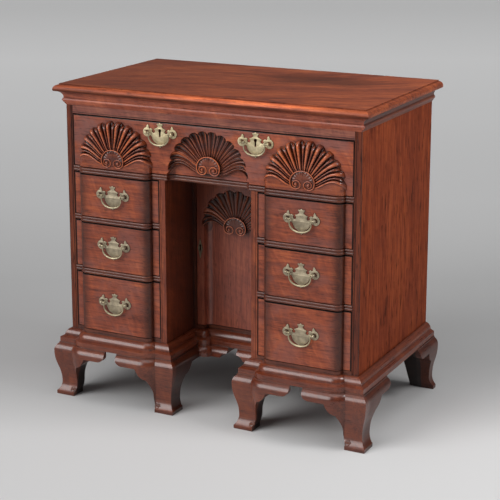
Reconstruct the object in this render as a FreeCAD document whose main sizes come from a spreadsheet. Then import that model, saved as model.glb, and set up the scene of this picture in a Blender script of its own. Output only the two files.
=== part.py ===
import FreeCAD, Part
import math
import os
import re
import Sketcher

# Kneehole desk: a long drawer over two stacks of short drawers either side of a
# recessed cupboard. While the pieces are drawn the front stiles stand at y = 0, the
# sitter is towards -Y and the floor is z = 0. Every length is in millimetres.
SIZES = {
    # carcass
    "case_width": 846, "case_depth": 482, "total_height": 862, "side_thickness": 19,
    "partition_thickness": 17.5, "kneehole_width": 250, "kneehole_depth": 146,
    "back_thickness": 12, "back_boards": 3, "rail_depth": 60, "rear_rail": 20,
    # heights of the front, from the floor up
    "foot_height": 149, "base_height": 37, "bottom_reveal": 10, "bottom_thickness": 20,
    "low_drawer": 157, "middle_drawer": 128, "high_drawer": 117, "long_drawer": 140,
    "blade_thickness": 15,
    # blocked front and its beads
    "block_depth": 18, "block_margin": 22, "recess_half": 119,
    "bead_proud": 1.6, "bead_quirk": 1.5, "stile_bead": 4.5, "stile_groove": 0.8,
    # top board and the cove moulding under it
    "top_thickness": 20, "top_overhang": 26, "top_step_in": 13, "top_step": 3,
    "top_nose": 12, "top_underside": 3.5, "back_overhang": 13,
    "cove_height": 37, "cove_out": 20, "cove_in": 5, "cove_drop": 18,
    "cove_bead_out": 8.5, "cove_bead_drop": 25, "cove_bead_bow": 1,
    # base moulding
    "base_out": 25, "ovolo_out": 15, "ovolo_rise": 18, "ovolo_in": 2, "base_ledge": 5,
    "base_backing": 20, "mitre_reach": 90,
    # ogee feet: the face, then the sawn edge of the brackets
    "foot_top_out": 27, "foot_lip": 3, "knee_out": 37.5, "knee_height": 127,
    "ankle_out": 23, "ankle_height": 35, "pad_out": 34, "pad_height": 9, "foot_inset": 12,
    "pad_inner": 20, "pad_inner_height": 12, "shin_inner": 27, "shin_height": 42,
    "arch_inner": 40, "arch_height": 91, "cusp_inner": 65, "cusp_height": 112, "cusp_bow": 4,
    "lobe_inner": 69, "lobe_height": 120, "lobe_end": 110, "bracket_reach": 131,
    "tip_height": 134, "tip_bow": 4, "bracket_hollow": 20, "saw_slack": 5,
    "back_bracket": 18, "back_bracket_foot": 34, "back_bracket_arch": 62, "back_bracket_reach": 110,
    "foot_block": 16, "foot_block_lift": 108, "skirt_gap": 28,
    # drawers
    "drawer_gap": 1.8, "drawer_head_gap": 3, "front_thickness": 22, "long_front_thickness": 32,
    "drawer_depth": 436, "drawer_side": 11, "drawer_bottom": 8, "drawer_bottom_lift": 6,
    "drawer_headroom": 8, "runner_clearance": 0.3, "box_clearance": 1.2,
    "runner_width": 25, "runner_thickness": 15,
    # carved shells
    "shell_rise": 24, "shell_ring": 94, "shell_lobe": 13.5, "shell_root": 24,
    "shell_root_lobe": 3, "shell_lobes": 12, "shell_base": 14, "boss_radius": 29,
    "boss_depth": 12, "boss_rim": 4, "boss_lip": 3, "volute_radius": 7, "volute_out": 14,
    "volute_drop": 8, "hollow_root": 12, "hollow_root_lobe": 5,
    # cupboard and its door
    "jamb_width": 10, "jamb_depth": 30, "door_thickness": 36, "door_gap": 1.8,
    "door_margin": 22, "door_shell_height": 486, "door_shell_ring": 83,
    "shelf_thickness": 14, "shelf_height": 402, "shelf_setback": 20,
    # door hinges and locks
    "hinge_gap": 3.6, "hinge_leaf": 1.6, "hinge_height": 50, "hinge_depth": 24,
    "barrel_radius": 3.5, "pin_radius": 1.6, "pin_clearance": 0.05, "hinge_inset": 70,
    "knuckle_clearance": 0.3, "escutcheon_half": 7, "escutcheon_rise": 28, "escutcheon_waist": 5,
    "escutcheon_thickness": 1.5, "escutcheon_height": 414,
    "keyhole_radius": 3.6, "keyhole_slot": 2, "keyhole_drop": 16,
    "lock_width": 56, "lock_height": 40, "lock_depth": 12, "lock_drop": 8,
    # brass pulls
    "plate_thickness": 1.8, "post_half": 38, "ear_radius": 12.5, "disc_radius": 23,
    "disc_drop": 16, "crown_rise": 26, "crown_step": 21, "crown_half": 9, "crown_neck": 5,
    "crown_neck_rise": 15.5, "shoulder_half": 17, "shoulder_rise": 9.5, "notch_radius": 5,
    "notch_rise": 3, "notch_mouth": 3, "ear_leaf_rise": 18, "ear_leaf_half": 4, "ear_root": 8,
    "disc_root": 4, "tip_half": 4, "tip_drop": 40,
    "post_radius": 3, "post_hole": 3.2, "collar_radius": 4.6, "collar_height": 1.5,
    "neck_radius": 3.4, "ball_radius": 4.4, "bail_stand": 7, "nut_radius": 7, "nut_height": 4,
    "bail_radius": 2.3, "bail_pin": 1.8, "bail_clearance": 0.08, "bail_half": 29,
    "bail_drop": 33, "bail_arm": 6, "bail_bend": 15, "bail_hold": 3.6, "bail_knob": 3.3,
    "bail_knob_half": 2, "long_pull_place": 137.5, "long_pull_rise": 110,
}

doc = FreeCAD.newDocument("kneehole_desk")
sheet = doc.addObject("Spreadsheet::Sheet", "Sizes")
for row, (alias, size) in enumerate(SIZES.items(), start=1):
    sheet.set(f"A{row}", alias)
    sheet.set(f"B{row}", str(size))
    sheet.setAlias(f"B{row}", alias)
doc.recompute()

LEFT, RIGHT = -1, 1
FRONT_RUN, SIDE_RUN = "front", "side"
QUARTER, HALF, WHOLE = 90, 180, 360
# Which way an arc swells on an outline that is followed with the piece on its right hand.
CONVEX, HOLLOW = -1, 1
# Two lengths that differ by less than this are the same.
HAIR = 1e-6


def bound(formula):
    """The formula with each size looked up in the sheet."""
    return re.sub(r"[a-z_]{3,}", lambda word: f"Sizes.{word[0]}" if word[0] in SIZES else word[0], formula)


def number(formula):
    """What a formula of sheet sizes comes to."""
    return float(sheet.evalExpression(formula))


def tie(thing, **formulas):
    """Bind properties to formulas; a double underscore in a name stands for a dot."""
    for path, formula in formulas.items():
        thing.setExpression(path.replace("__", "."), bound(formula))
    return thing


def bow(start, end, rise):
    """Radius of the arc that stands a rise off the straight line between two points."""
    chord = f"((({end[0]}) - ({start[0]}))^2 + (({end[1]}) - ({start[1]}))^2)"
    return f"({chord} / (8 * {rise}) + {rise} / 2)"


def upright(plumb, other):
    """Radius of the arc through two points that is plumb at the first of them."""
    across = f"(({other[0]}) - ({plumb[0]}))"
    up = f"(({other[1]}) - ({plumb[1]}))"
    return f"(({across}^2 + {up}^2) / (2 * abs({across})))"


def add_outline(sketch, steps):
    """A closed outline: a step is (u, v), or (u, v, radius, swell) for an arc to that point."""
    points = [FreeCAD.Vector(number(step[0]), number(step[1]), 0) for step in steps]
    edges = []
    for index, step in enumerate(steps):
        start, end = points[index - 1], points[index]
        if len(step) == 2:
            edges.append((sketch.addGeometry(Part.LineSegment(start, end), False), 1, 2))
            continue
        radius, side = number(step[2]), step[3]
        chord = end - start
        lift = math.sqrt(max(radius ** 2 - chord.Length ** 2 / 4, 0))
        square_to = FreeCAD.Vector(-chord.y, chord.x, 0).normalize()
        centre = (start + end) / 2 + square_to * lift * side
        ends = (start, end) if side > 0 else (end, start)
        angles = [math.atan2(point.y - centre.y, point.x - centre.x) for point in ends]
        circle = Part.Circle(centre, FreeCAD.Vector(0, 0, 1), radius)
        edge = sketch.addGeometry(Part.ArcOfCircle(circle, *angles), False)
        edges.append((edge, 1, 2) if side > 0 else (edge, 2, 1))
        held = sketch.addConstraint(Sketcher.Constraint("Radius", edge, radius))
        sketch.setExpression(f"Constraints[{held}]", bound(step[2]))
    for index, step in enumerate(steps):
        edge, last = edges[index][0], edges[index][2]
        onward, begin = edges[(index + 1) % len(steps)][:2]
        sketch.addConstraint(Sketcher.Constraint("Coincident", edge, last, onward, begin))
        hold_point(sketch, edge, last, step[0], step[1])


def add_circle(sketch, across, up, radius):
    centre = FreeCAD.Vector(number(across), number(up), 0)
    circle = Part.Circle(centre, FreeCAD.Vector(0, 0, 1), number(radius))
    edge = sketch.addGeometry(circle, False)
    hold_point(sketch, edge, 3, across, up)
    held = sketch.addConstraint(Sketcher.Constraint("Radius", edge, number(radius)))
    sketch.setExpression(f"Constraints[{held}]", bound(radius))


def hold_point(sketch, edge, point, across, up):
    for kind, formula in (("DistanceX", across), ("DistanceY", up)):
        held = sketch.addConstraint(Sketcher.Constraint(kind, -1, 1, edge, point, number(formula)))
        sketch.setExpression(f"Constraints[{held}]", bound(formula))


def draw(body, plane, outlines, away="0", across="0", up="0"):
    """A sketch on one of the body's planes, moved off it and along it."""
    sketch = body.newObject("Sketcher::SketchObject", body.Name + "_sketch")
    support = next(item for item in body.Origin.OriginFeatures if item.Role == plane)
    sketch.AttachmentSupport = [(support, "")]
    sketch.MapMode = "FlatFace"
    for axis, place in (("x", across), ("y", up), ("z", away)):
        tie(sketch, **{f"AttachmentOffset__Base__{axis}": place})
    for outline in outlines:
        if isinstance(outline, tuple):
            add_circle(sketch, *outline)
        else:
            add_outline(sketch, outline)
    return sketch


def new_body(name):
    return doc.addObject("PartDesign::Body", name)


def pad(body, axis, outlines, start, end):
    """Material along an axis between two places."""
    plane, away = {
        "x": ("YZ_Plane", start), "y": ("XZ_Plane", f"-({end})"), "z": ("XY_Plane", start),
    }[axis]
    profile = draw(body, plane, outlines, away)
    feature = body.newObject("PartDesign::Pad", body.Name + "_pad")
    feature.Profile = profile
    tie(feature, Length=f"({end}) - ({start})")


def cut(body, axis, outlines, start, end):
    """A hole or notch along an axis between two places."""
    doc.recompute()
    before = body.Shape.Volume
    plane, away = {
        "x": ("YZ_Plane", end), "y": ("XZ_Plane", f"-({start})"), "z": ("XY_Plane", end),
    }[axis]
    profile = draw(body, plane, outlines, away)
    feature = body.newObject("PartDesign::Pocket", body.Name + "_cut")
    feature.Profile = profile
    tie(feature, Length=f"({end}) - ({start})")
    doc.recompute()
    if body.Shape.Volume >= before:
        raise ValueError(f"{body.Name}: a cut took nothing away")


def turn(body, outline, x_place, y_place, toward):
    """A section turned a quarter about an upright axis, from along Y towards left or right."""
    profile = draw(body, "YZ_Plane", [outline], away=x_place, across=y_place)
    feature = body.newObject("PartDesign::Revolution", body.Name + "_turn")
    feature.Profile = profile
    feature.ReferenceAxis = (profile, ["V_Axis"])
    feature.Angle = QUARTER
    feature.Reversed = toward < 0


def board(name, x_span, y_span, z_span):
    """A plain squared board between two places on each axis."""
    box = doc.addObject("Part::Box", name)
    for axis, length, (low, high) in zip("xyz", ("Length", "Width", "Height"), (x_span, y_span, z_span)):
        tie(box, **{f"Placement__Base__{axis}": low, length: f"({high}) - ({low})"})
    return box


def rod(name, radius, axis, start, end, x_place="0", y_place="0", z_place="0"):
    """A round bar between two places on an axis."""
    bar = doc.addObject("Part::Cylinder", name)
    aim = FreeCAD.Vector(*(float(axis == letter) for letter in "xyz"))
    bar.Placement = FreeCAD.Placement(FreeCAD.Vector(), FreeCAD.Rotation(FreeCAD.Vector(0, 0, 1), aim))
    places = {"x": x_place, "y": y_place, "z": z_place, axis: start}
    for letter, place in places.items():
        tie(bar, **{f"Placement__Base__{letter}": place})
    return tie(bar, Radius=radius, Height=f"({end}) - ({start})")


def joined(name, *pieces):
    whole = doc.addObject("Part::MultiFuse", name)
    whole.Shapes = list(pieces)
    whole.Refine = True
    return whole


def less(name, base, *tools):
    for tool in tools:
        rest = doc.addObject("Part::Cut", name)
        rest.Base = base
        rest.Tool = tool
        base = rest
    return base


# The finished part has its origin on the floor under the middle of the whole desk.
TO_MIDDLE = "(block_depth + knee_out - case_depth - back_overhang) / 2"
nodes = []


def node(label, *pieces):
    """A named sub-part of one or more separate solids."""
    group = doc.addObject("Part::Compound", "node_" + label)
    group.Links = list(pieces)
    group.Label = label
    tie(group, Placement__Base__y=TO_MIDDLE)
    nodes.append(group)


def hand(side, place):
    """A place given for the right half, on either half."""
    return f"{side} * ({place})"


def span(side, near, far):
    """Two places given for the right half, in rising order on either half."""
    return (near, far) if side > 0 else (f"-({far})", f"-({near})")


def minus(formula):
    return f"-({formula})"


# Places that the pieces share
CASE_HALF = "case_width / 2"
SIDE_FACE = "(case_width / 2 - side_thickness)"
KNEE_HALF = "kneehole_width / 2"
PARTITION_FACE = "(kneehole_width / 2 + partition_thickness)"
PEDESTAL_MIDDLE = f"({SIDE_FACE} + {PARTITION_FACE}) / 2"
BLOCK_IN = f"({PARTITION_FACE} + block_margin)"
BLOCK_OUT = f"({SIDE_FACE} - block_margin)"
CROWN_IN = f"({BLOCK_IN} + block_depth)"
CROWN_OUT = f"({BLOCK_OUT} - block_depth)"
BACK_FACE = "(case_depth - back_thickness)"
TOP_UNDER = "(total_height - top_thickness)"
BASE_TOP = "(foot_height + base_height)"
FLOOR_TOP = f"({BASE_TOP} + bottom_reveal)"
FLOOR_UNDER = f"({FLOOR_TOP} - bottom_thickness)"
MIDDLE_FLOOR = f"({FLOOR_TOP} + low_drawer + blade_thickness)"
HIGH_FLOOR = f"({MIDDLE_FLOOR} + middle_drawer + blade_thickness)"
LONG_BLADE = f"({HIGH_FLOOR} + high_drawer)"
LONG_FLOOR = f"({LONG_BLADE} + blade_thickness)"
LONG_TOP = f"({LONG_FLOOR} + long_drawer)"
JAMB_FACE = f"({KNEE_HALF} - jamb_width)"
DOOR_RECESS = f"({JAMB_FACE} - door_gap - door_margin)"
DOOR_BACK = "(kneehole_depth + door_thickness)"
SHELL_CENTRE = f"({LONG_FLOOR} + shell_rise)"


def rectangle(u_low, u_high, v_low, v_high):
    return [(u_low, v_low), (u_high, v_low), (u_high, v_high), (u_low, v_high)]


def facing(steps, place, direction):
    """A section given as ways out of a face, set on a face at a place and looking one way."""
    return [
        (f"{place} + {direction} * ({step[0]})", step[1], *swell(step, direction)) for step in steps
    ]


def swell(step, direction):
    return (step[2], step[3] * direction) if len(step) == 4 else ()


# Sections, from the top down: (way out of the face, height) and arcs


def cove_section():
    top_edge = ("cove_out", TOP_UNDER)
    hollow = ("cove_in", f"{TOP_UNDER} - cove_drop")
    bead = ("cove_bead_out", f"{TOP_UNDER} - cove_bead_drop")
    return [
        ("0", TOP_UNDER), top_edge, (*hollow, upright(hollow, top_edge), HOLLOW),
        (*bead, bow(hollow, bead, "cove_bead_bow"), CONVEX), ("0", f"{TOP_UNDER} - cove_height"),
    ]


def base_section(*backing):
    """Ovolo, ledge and flat of the base moulding; the backing closes the section."""
    start = ("ovolo_in", BASE_TOP)
    ovolo = ("ovolo_out", f"{BASE_TOP} - ovolo_rise")
    return [
        ("0", BASE_TOP), start, (*ovolo, upright(ovolo, start), CONVEX),
        ("base_out", f"{BASE_TOP} - ovolo_rise - base_ledge"), ("base_out", "foot_height"), *backing,
    ]


def ogee_section(back):
    """Cyma face of a foot: full knee, drawn-in ankle and spread pad."""
    lip = ("foot_top_out", "foot_height - foot_lip")
    knee = ("knee_out", "knee_height")
    shin = ("(knee_out + ankle_out) / 2", "(knee_height + ankle_height) / 2")
    ankle = ("ankle_out", "ankle_height")
    toe = ("pad_out", "pad_height")
    return [
        (back, "foot_height"), ("foot_top_out", "foot_height"), lip, (*knee, upright(knee, lip), CONVEX),
        (*shin, upright(knee, shin), CONVEX), (*ankle, upright(ankle, shin), HOLLOW),
        (*toe, upright(ankle, toe), HOLLOW), ("pad_out", "0"), (back, "0"),
    ]


def skirt_section(back):
    """The top of the ogee face, as far down as the lobes of the skirt."""
    lip = ("foot_top_out", "foot_height - foot_lip")
    knee = ("knee_out", "knee_height")
    return [
        (back, "foot_height"), ("foot_top_out", "foot_height"), lip, (*knee, upright(knee, lip), CONVEX),
        ("knee_out", "lobe_height"), (back, "lobe_height"),
    ]


def bead_section(low, back):
    """Double bead on the edge of a blade."""
    high = f"{low} + blade_thickness"
    middle = f"{low} + blade_thickness / 2"
    quirk = "bead_quirk / 2"
    radius = bow(("0", "0"), ("0", "blade_thickness / 2 - bead_quirk"), "bead_proud")
    return [
        (back, high), ("0", high), ("0", f"{high} - {quirk}"),
        ("0", f"{middle} + {quirk}", radius, CONVEX), ("0", f"{middle} - {quirk}"),
        ("0", f"{low} + {quirk}", radius, CONVEX), ("0", low), (back, low),
    ]


def mitre(body, kept, side, x_corner, y_corner):
    """Saw an end at 45 degrees where a front run and a side run meet on an outer corner."""
    inner = (f"{x_corner} - {side} * mitre_reach", f"{y_corner} + mitre_reach")
    outer = (f"{x_corner} + {side} * mitre_reach", f"{y_corner} - mitre_reach")
    waste = (outer[0], inner[1]) if kept == FRONT_RUN else (inner[0], outer[1])
    cut(body, "z", [[inner, outer, waste]], "-saw_slack", "total_height")


def inner_mitre(body, kept, side, x_corner, y_corner):
    """Saw an end at 45 degrees in the inner corner at the back of the kneehole."""
    far = (f"{x_corner} - {side} * mitre_reach", f"{y_corner} - mitre_reach")
    waste = (x_corner, far[1]) if kept == FRONT_RUN else (far[0], y_corner)
    cut(body, "z", [[(x_corner, y_corner), far, waste]], "-saw_slack", "total_height")


def turn_block(body, section, side):
    """The two rounded ends of a block, with its flat crown between them."""
    pad(body, "x", [facing(section, "-block_depth", -1)], *span(side, CROWN_IN, CROWN_OUT))
    turn(body, facing(section, "-block_depth", -1), hand(side, CROWN_OUT), "0", side)
    turn(body, facing(section, "-block_depth", -1), hand(side, CROWN_IN), "0", -side)


def block_steps(side):
    """Front edge of a block in plan, from the kneehole outwards."""
    steps = [
        (BLOCK_IN, "0"), (CROWN_IN, "-block_depth", "block_depth", side),
        (CROWN_OUT, "-block_depth"), (BLOCK_OUT, "0", "block_depth", side),
    ]
    return [(hand(side, step[0]), *step[1:]) for step in steps]


def block_plan(side, inner, outer, back):
    """Plan of a board whose front swells into the block between flat margins."""
    near, far = hand(side, inner), hand(side, outer)
    return [(near, back), (near, "0"), *block_steps(side), (far, "0"), (far, back)]


def recess_steps(half, depth):
    """Front edge of a hollowed middle in plan, from left to right."""
    floor = f"({half} - block_depth)"
    back = f"{depth} + block_depth"
    return [
        (minus(half), depth), (minus(floor), back, "block_depth", CONVEX),
        (floor, back), (half, depth, "block_depth", CONVEX),
    ]


# Top of the desk


def front_edges(shape, level, back):
    """Names of the edges at a level that don't lie along the back."""
    names = []
    for index, edge in enumerate(shape.Edges, start=1):
        box = edge.BoundBox
        is_level = max(abs(box.ZMin - level), abs(box.ZMax - level)) < HAIR
        if is_level and box.YMin < back - HAIR:
            names.append(f"Edge{index}")
    return names


def make_top():
    slab = new_body("top_slab")
    width = f"({CASE_HALF} + top_overhang)"
    back = "case_depth + back_overhang"
    step = "total_height - top_step"
    pad(slab, "z", [rectangle(minus(width), width, "-top_overhang", back)], TOP_UNDER, step)
    doc.recompute()
    roundings = (("top_nose_round", step, "top_nose"), ("top_under_round", TOP_UNDER, "top_underside"))
    for name, level, radius in roundings:
        slab_so_far = slab.Tip
        edges = front_edges(slab_so_far.Shape, number(level), number(back))
        rounding = slab.newObject("PartDesign::Fillet", name)
        rounding.Base = (slab_so_far, edges)
        tie(rounding, Radius=radius)
        doc.recompute()
    inner = f"({width} - top_step_in)"
    pad(slab, "z", [rectangle(minus(inner), inner, "top_step_in - top_overhang", back)], step, "total_height")
    node("top_board", slab)


def make_cove():
    front = new_body("cove_front")
    end = f"{CASE_HALF} + cove_out"
    pad(front, "x", [facing(cove_section(), "0", -1)], minus(end), end)
    pieces = [front]
    for side in (LEFT, RIGHT):
        corner = hand(side, CASE_HALF)
        mitre(front, FRONT_RUN, side, corner, "0")
        run = new_body("cove_side")
        pad(run, "y", [facing(cove_section(), corner, side)], "-cove_out", "case_depth")
        mitre(run, SIDE_RUN, side, corner, "0")
        pieces.append(run)
    node("top_moulding", *pieces)


# Carcass


def make_sides():
    for side, label in ((LEFT, "left_side"), (RIGHT, "right_side")):
        plank = board(label + "_board", span(side, SIDE_FACE, CASE_HALF), ("0", "case_depth"),
                      ("foot_height", TOP_UNDER))
        groove = rod(label + "_bead", "stile_groove", "z", "foot_height - saw_slack", "total_height",
                     x_place=hand(side, f"{SIDE_FACE} + stile_bead"))
        node(label, less(label + "_cut", plank, groove))


def make_partitions():
    for side, label in ((LEFT, "left_partition"), (RIGHT, "right_partition")):
        plank = board(label + "_board", span(side, KNEE_HALF, PARTITION_FACE), ("0", BACK_FACE),
                      ("foot_height", LONG_BLADE))
        groove = rod(label + "_bead", "stile_groove", "z", "foot_height - saw_slack", "total_height",
                     x_place=hand(side, f"{PARTITION_FACE} - stile_bead"))
        node(label, less(label + "_cut", plank, groove))


def make_back():
    rise = f"(({TOP_UNDER} - foot_height) / back_boards)"
    planks = []
    for index in range(round(number("back_boards"))):
        low = f"foot_height + {index} * {rise}"
        planks.append(board("back_plank", (minus(SIDE_FACE), SIDE_FACE), (BACK_FACE, "case_depth"),
                            (low, f"{low} + {rise}")))
    node("back_boards", *planks)


def make_bottom():
    floors = []
    for side in (LEFT, RIGHT):
        floor = new_body("pedestal_floor")
        pad(floor, "z", [block_plan(side, PARTITION_FACE, SIDE_FACE, BACK_FACE)], FLOOR_UNDER, FLOOR_TOP)
        floors.append(floor)
    middle = new_body("cupboard_floor")
    plan = [
        (minus(KNEE_HALF), BACK_FACE), (minus(KNEE_HALF), "kneehole_depth"),
        (minus(DOOR_RECESS), "kneehole_depth"), (minus(DOOR_RECESS), "kneehole_depth + block_depth"),
        (DOOR_RECESS, "kneehole_depth + block_depth"), (DOOR_RECESS, "kneehole_depth"),
        (KNEE_HALF, "kneehole_depth"), (KNEE_HALF, BACK_FACE),
    ]
    pad(middle, "z", [plan], FLOOR_UNDER, FLOOR_TOP)
    node("bottom_boards", *floors, middle)


def make_rails():
    width = (minus(SIDE_FACE), SIDE_FACE)
    front = board("front_rail", width, ("0", "rail_depth"), (LONG_TOP, TOP_UNDER))
    rear = board("rear_rail_board", width, (f"{BACK_FACE} - rail_depth", BACK_FACE),
                 (f"{TOP_UNDER} - rear_rail", TOP_UNDER))
    node("top_rails", front, rear)
    node("dust_board", board("dust_plank", width, ("rail_depth", BACK_FACE), (LONG_BLADE, LONG_FLOOR)))


def make_long_blade():
    blade = new_body("long_blade_body")
    right = [*block_steps(RIGHT), (SIDE_FACE, "0"), (SIDE_FACE, "rail_depth")]
    left = [
        (minus(SIDE_FACE), "rail_depth"), (minus(SIDE_FACE), "0"), (minus(BLOCK_OUT), "0"),
        (minus(CROWN_OUT), "-block_depth", "block_depth", HOLLOW), (minus(CROWN_IN), "-block_depth"),
        (minus(BLOCK_IN), "0", "block_depth", HOLLOW),
    ]
    pad(blade, "z", [[*left, *recess_steps("recess_half", "0"), *right]], LONG_BLADE, LONG_FLOOR)
    section = bead_section(LONG_BLADE, "-block_depth")
    hollow_floor = "(recess_half - block_depth)"
    for side in (LEFT, RIGHT):
        for near, far in (("recess_half", BLOCK_IN), (BLOCK_OUT, SIDE_FACE)):
            pad(blade, "x", [facing(section, "0", -1)], *span(side, near, far))
        turn_block(blade, section, side)
        turn(blade, facing(section, "block_depth", -1), hand(side, hollow_floor), "0", -side)
    pad(blade, "x", [facing(section, "block_depth", -1)], minus(hollow_floor), hollow_floor)
    node("long_blade", blade)


def make_short_blades():
    blades = []
    for side in (LEFT, RIGHT):
        for floor in (MIDDLE_FLOOR, HIGH_FLOOR):
            low = f"({floor} - blade_thickness)"
            blade = new_body("short_blade")
            pad(blade, "z", [block_plan(side, PARTITION_FACE, SIDE_FACE, "rail_depth")], low, floor)
            section = bead_section(low, "-block_depth")
            for near, far in ((PARTITION_FACE, BLOCK_IN), (BLOCK_OUT, SIDE_FACE)):
                pad(blade, "x", [facing(section, "0", -1)], *span(side, near, far))
            turn_block(blade, section, side)
            blades.append(blade)
    node("short_blades", *blades)


def make_runners():
    strips = []
    edges = ((PARTITION_FACE, f"{PARTITION_FACE} + runner_width"), (f"{SIDE_FACE} - runner_width", SIDE_FACE))
    for side in (LEFT, RIGHT):
        for floor in (MIDDLE_FLOOR, HIGH_FLOOR):
            for near, far in edges:
                strips.append(board("runner", span(side, near, far), ("rail_depth", BACK_FACE),
                                    (f"{floor} - runner_thickness", floor)))
    node("drawer_runners", *strips)


# Base moulding and feet


def make_base():
    runs = []
    backing = (("-block_depth", "foot_height"), ("-block_depth", FLOOR_UNDER), ("0", FLOOR_UNDER))
    plain = (("0", "foot_height"),)
    for side in (LEFT, RIGHT):
        inner, outer = hand(side, KNEE_HALF), hand(side, CASE_HALF)
        front = new_body("base_front")
        for near, far in ((f"{KNEE_HALF} - base_out", BLOCK_IN), (BLOCK_OUT, f"{CASE_HALF} + base_out")):
            pad(front, "x", [facing(base_section(*plain), "0", -1)], *span(side, near, far))
        pad(front, "x", [rectangle("0", "base_backing", "foot_height", FLOOR_UNDER)],
            *span(side, PARTITION_FACE, SIDE_FACE))
        turn_block(front, base_section(*backing), side)
        mitre(front, FRONT_RUN, side, outer, "0")
        mitre(front, FRONT_RUN, -side, inner, "0")
        flank = new_body("base_flank")
        pad(flank, "y", [facing(base_section(*plain), outer, side)], "-base_out", "case_depth")
        mitre(flank, SIDE_RUN, side, outer, "0")
        inside = new_body("base_inside")
        pad(inside, "y", [facing(base_section(*plain), inner, -side)], "-base_out", "kneehole_depth")
        mitre(inside, SIDE_RUN, -side, inner, "0")
        inner_mitre(inside, SIDE_RUN, side, inner, "kneehole_depth")
        runs += [front, flank, inside]
    node("base_moulding", *runs, make_kneehole_base(base_section(*plain)))


def make_kneehole_base(section):
    """The base moulding across the cupboard, stepping back into the hollowed middle."""
    run = new_body("base_kneehole")
    recess = "kneehole_depth + block_depth"
    pad(run, "x", [facing(section, recess, -1)], minus(DOOR_RECESS), DOOR_RECESS)
    pad(run, "x", [rectangle(recess, f"{recess} + base_backing", "foot_height", FLOOR_UNDER)],
        minus(KNEE_HALF), KNEE_HALF)
    for side in (LEFT, RIGHT):
        step_back(run, section, side, KNEE_HALF)
        pad(run, "x", [rectangle("kneehole_depth", recess, "foot_height", FLOOR_UNDER)],
            *span(side, DOOR_RECESS, KNEE_HALF))
        inner_mitre(run, FRONT_RUN, side, hand(side, KNEE_HALF), "kneehole_depth")
    return run


def step_back(run, section, side, outer):
    """Margin beside the hollowed middle, with its rounded corner and return."""
    edge = hand(side, DOOR_RECESS)
    pad(run, "x", [facing(section, "kneehole_depth", -1)], *span(side, DOOR_RECESS, outer))
    turn(run, facing(section, "0", -1), edge, "kneehole_depth", -side)
    pad(run, "y", [facing(section, edge, -side)], "kneehole_depth", "kneehole_depth + block_depth")


BRACKET_END = "(bracket_reach + saw_slack)"


def bracket_waste(has_tip=True):
    """What is sawn away under a bracket: (way from the corner, height) from the floor up."""
    ankle = ("shin_inner", "shin_height")
    heel = ("pad_inner", "pad_inner_height")
    arch = ("arch_inner", "arch_height")
    cusp = ("cusp_inner", "cusp_height")
    lobe = ("lobe_end", "lobe_height")
    tip = ("bracket_reach", "tip_height")
    steps = [
        ("pad_inner", "-saw_slack"), heel, (*ankle, upright(ankle, heel), HOLLOW),
        (*arch, upright(ankle, arch), CONVEX), (*cusp, bow(arch, cusp, "cusp_bow"), HOLLOW),
        ("lobe_inner", "lobe_height"),
    ]
    if has_tip:
        end = BRACKET_END
        steps += [lobe, (*tip, bow(lobe, tip, "tip_bow"), HOLLOW), ("bracket_reach", "foot_height"),
                  (end, "foot_height")]
    else:
        end = "kneehole_depth + saw_slack"
        steps.append((end, "lobe_height"))
    return [*steps, (end, "-saw_slack")]


def front_bracket(side, corner, outward):
    """Bracket facing the sitter that follows the margin and the block."""
    bracket = new_body("front_bracket")
    tip = f"({corner} - {outward} * bracket_reach)"
    near, far = (tip, f"{corner} + knee_out") if outward > 0 else (f"{corner} - knee_out", tip)
    pad(bracket, "x", [facing(ogee_section("-foot_inset"), "0", -1)], *span(side, near, far))
    axis = CROWN_OUT if outward > 0 else CROWN_IN
    crown = (tip, axis) if outward > 0 else (axis, tip)
    section = ogee_section("-block_depth")
    pad(bracket, "x", [facing(section, "-block_depth", -1)], *span(side, *crown))
    turn(bracket, facing(section, "-block_depth", -1), hand(side, axis), "0", side * outward)
    waste = facing(bracket_waste(), hand(side, corner), -side * outward)
    cut(bracket, "y", [waste], "-(block_depth + knee_out + saw_slack)", "foot_inset + saw_slack")
    hollow = rectangle("cusp_inner", BRACKET_END, "-(block_depth + bracket_hollow)", "foot_inset + saw_slack")
    cut(bracket, "z", [facing(hollow, hand(side, corner), -side * outward)], "-saw_slack", "total_height")
    mitre(bracket, FRONT_RUN, side * outward, hand(side, corner), "0")
    return bracket


def flank_bracket(side, corner, outward, is_rear=False):
    """Bracket on the side of a pedestal; the one in the kneehole runs back to the cupboard."""
    bracket = new_body("flank_bracket")
    place, direction = hand(side, corner), side * outward
    end = "bracket_reach" if outward > 0 else "kneehole_depth"
    start = "-knee_out"
    waste = facing(bracket_waste(outward > 0), "0", 1)
    hollow = ("cusp_inner", BRACKET_END)
    if is_rear:
        start, end = "case_depth - bracket_reach", "case_depth"
        waste = facing(bracket_waste(), "case_depth", -1)
        hollow = (f"case_depth - {BRACKET_END}", "case_depth - cusp_inner")
    pad(bracket, "y", [facing(ogee_section("-foot_inset"), place, direction)], start, end)
    inside = f"{corner} - {outward} * (foot_inset + saw_slack)"
    outside = f"{corner} + {outward} * (knee_out + saw_slack)"
    low, high = (inside, outside) if outward > 0 else (outside, inside)
    cut(bracket, "x", [waste], *span(side, low, high))
    if outward > 0:
        behind = facing(rectangle("-(foot_inset + saw_slack)", "bracket_hollow", *hollow), place, direction)
        cut(bracket, "z", [behind], "-saw_slack", "total_height")
    if not is_rear:
        mitre(bracket, SIDE_RUN, direction, place, "0")
    if outward < 0:
        inner_mitre(bracket, SIDE_RUN, side, place, "kneehole_depth")
    return bracket


def corner_block(side, corner, outward, y_span):
    """Glue block in the corner of a foot."""
    face = f"{corner} - {outward} * foot_inset"
    back = f"{corner} - {outward} * (foot_inset + foot_block)"
    ends = (back, face) if outward > 0 else (face, back)
    return board("corner_block", span(side, *ends), y_span, ("foot_block_lift", "foot_height"))


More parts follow.
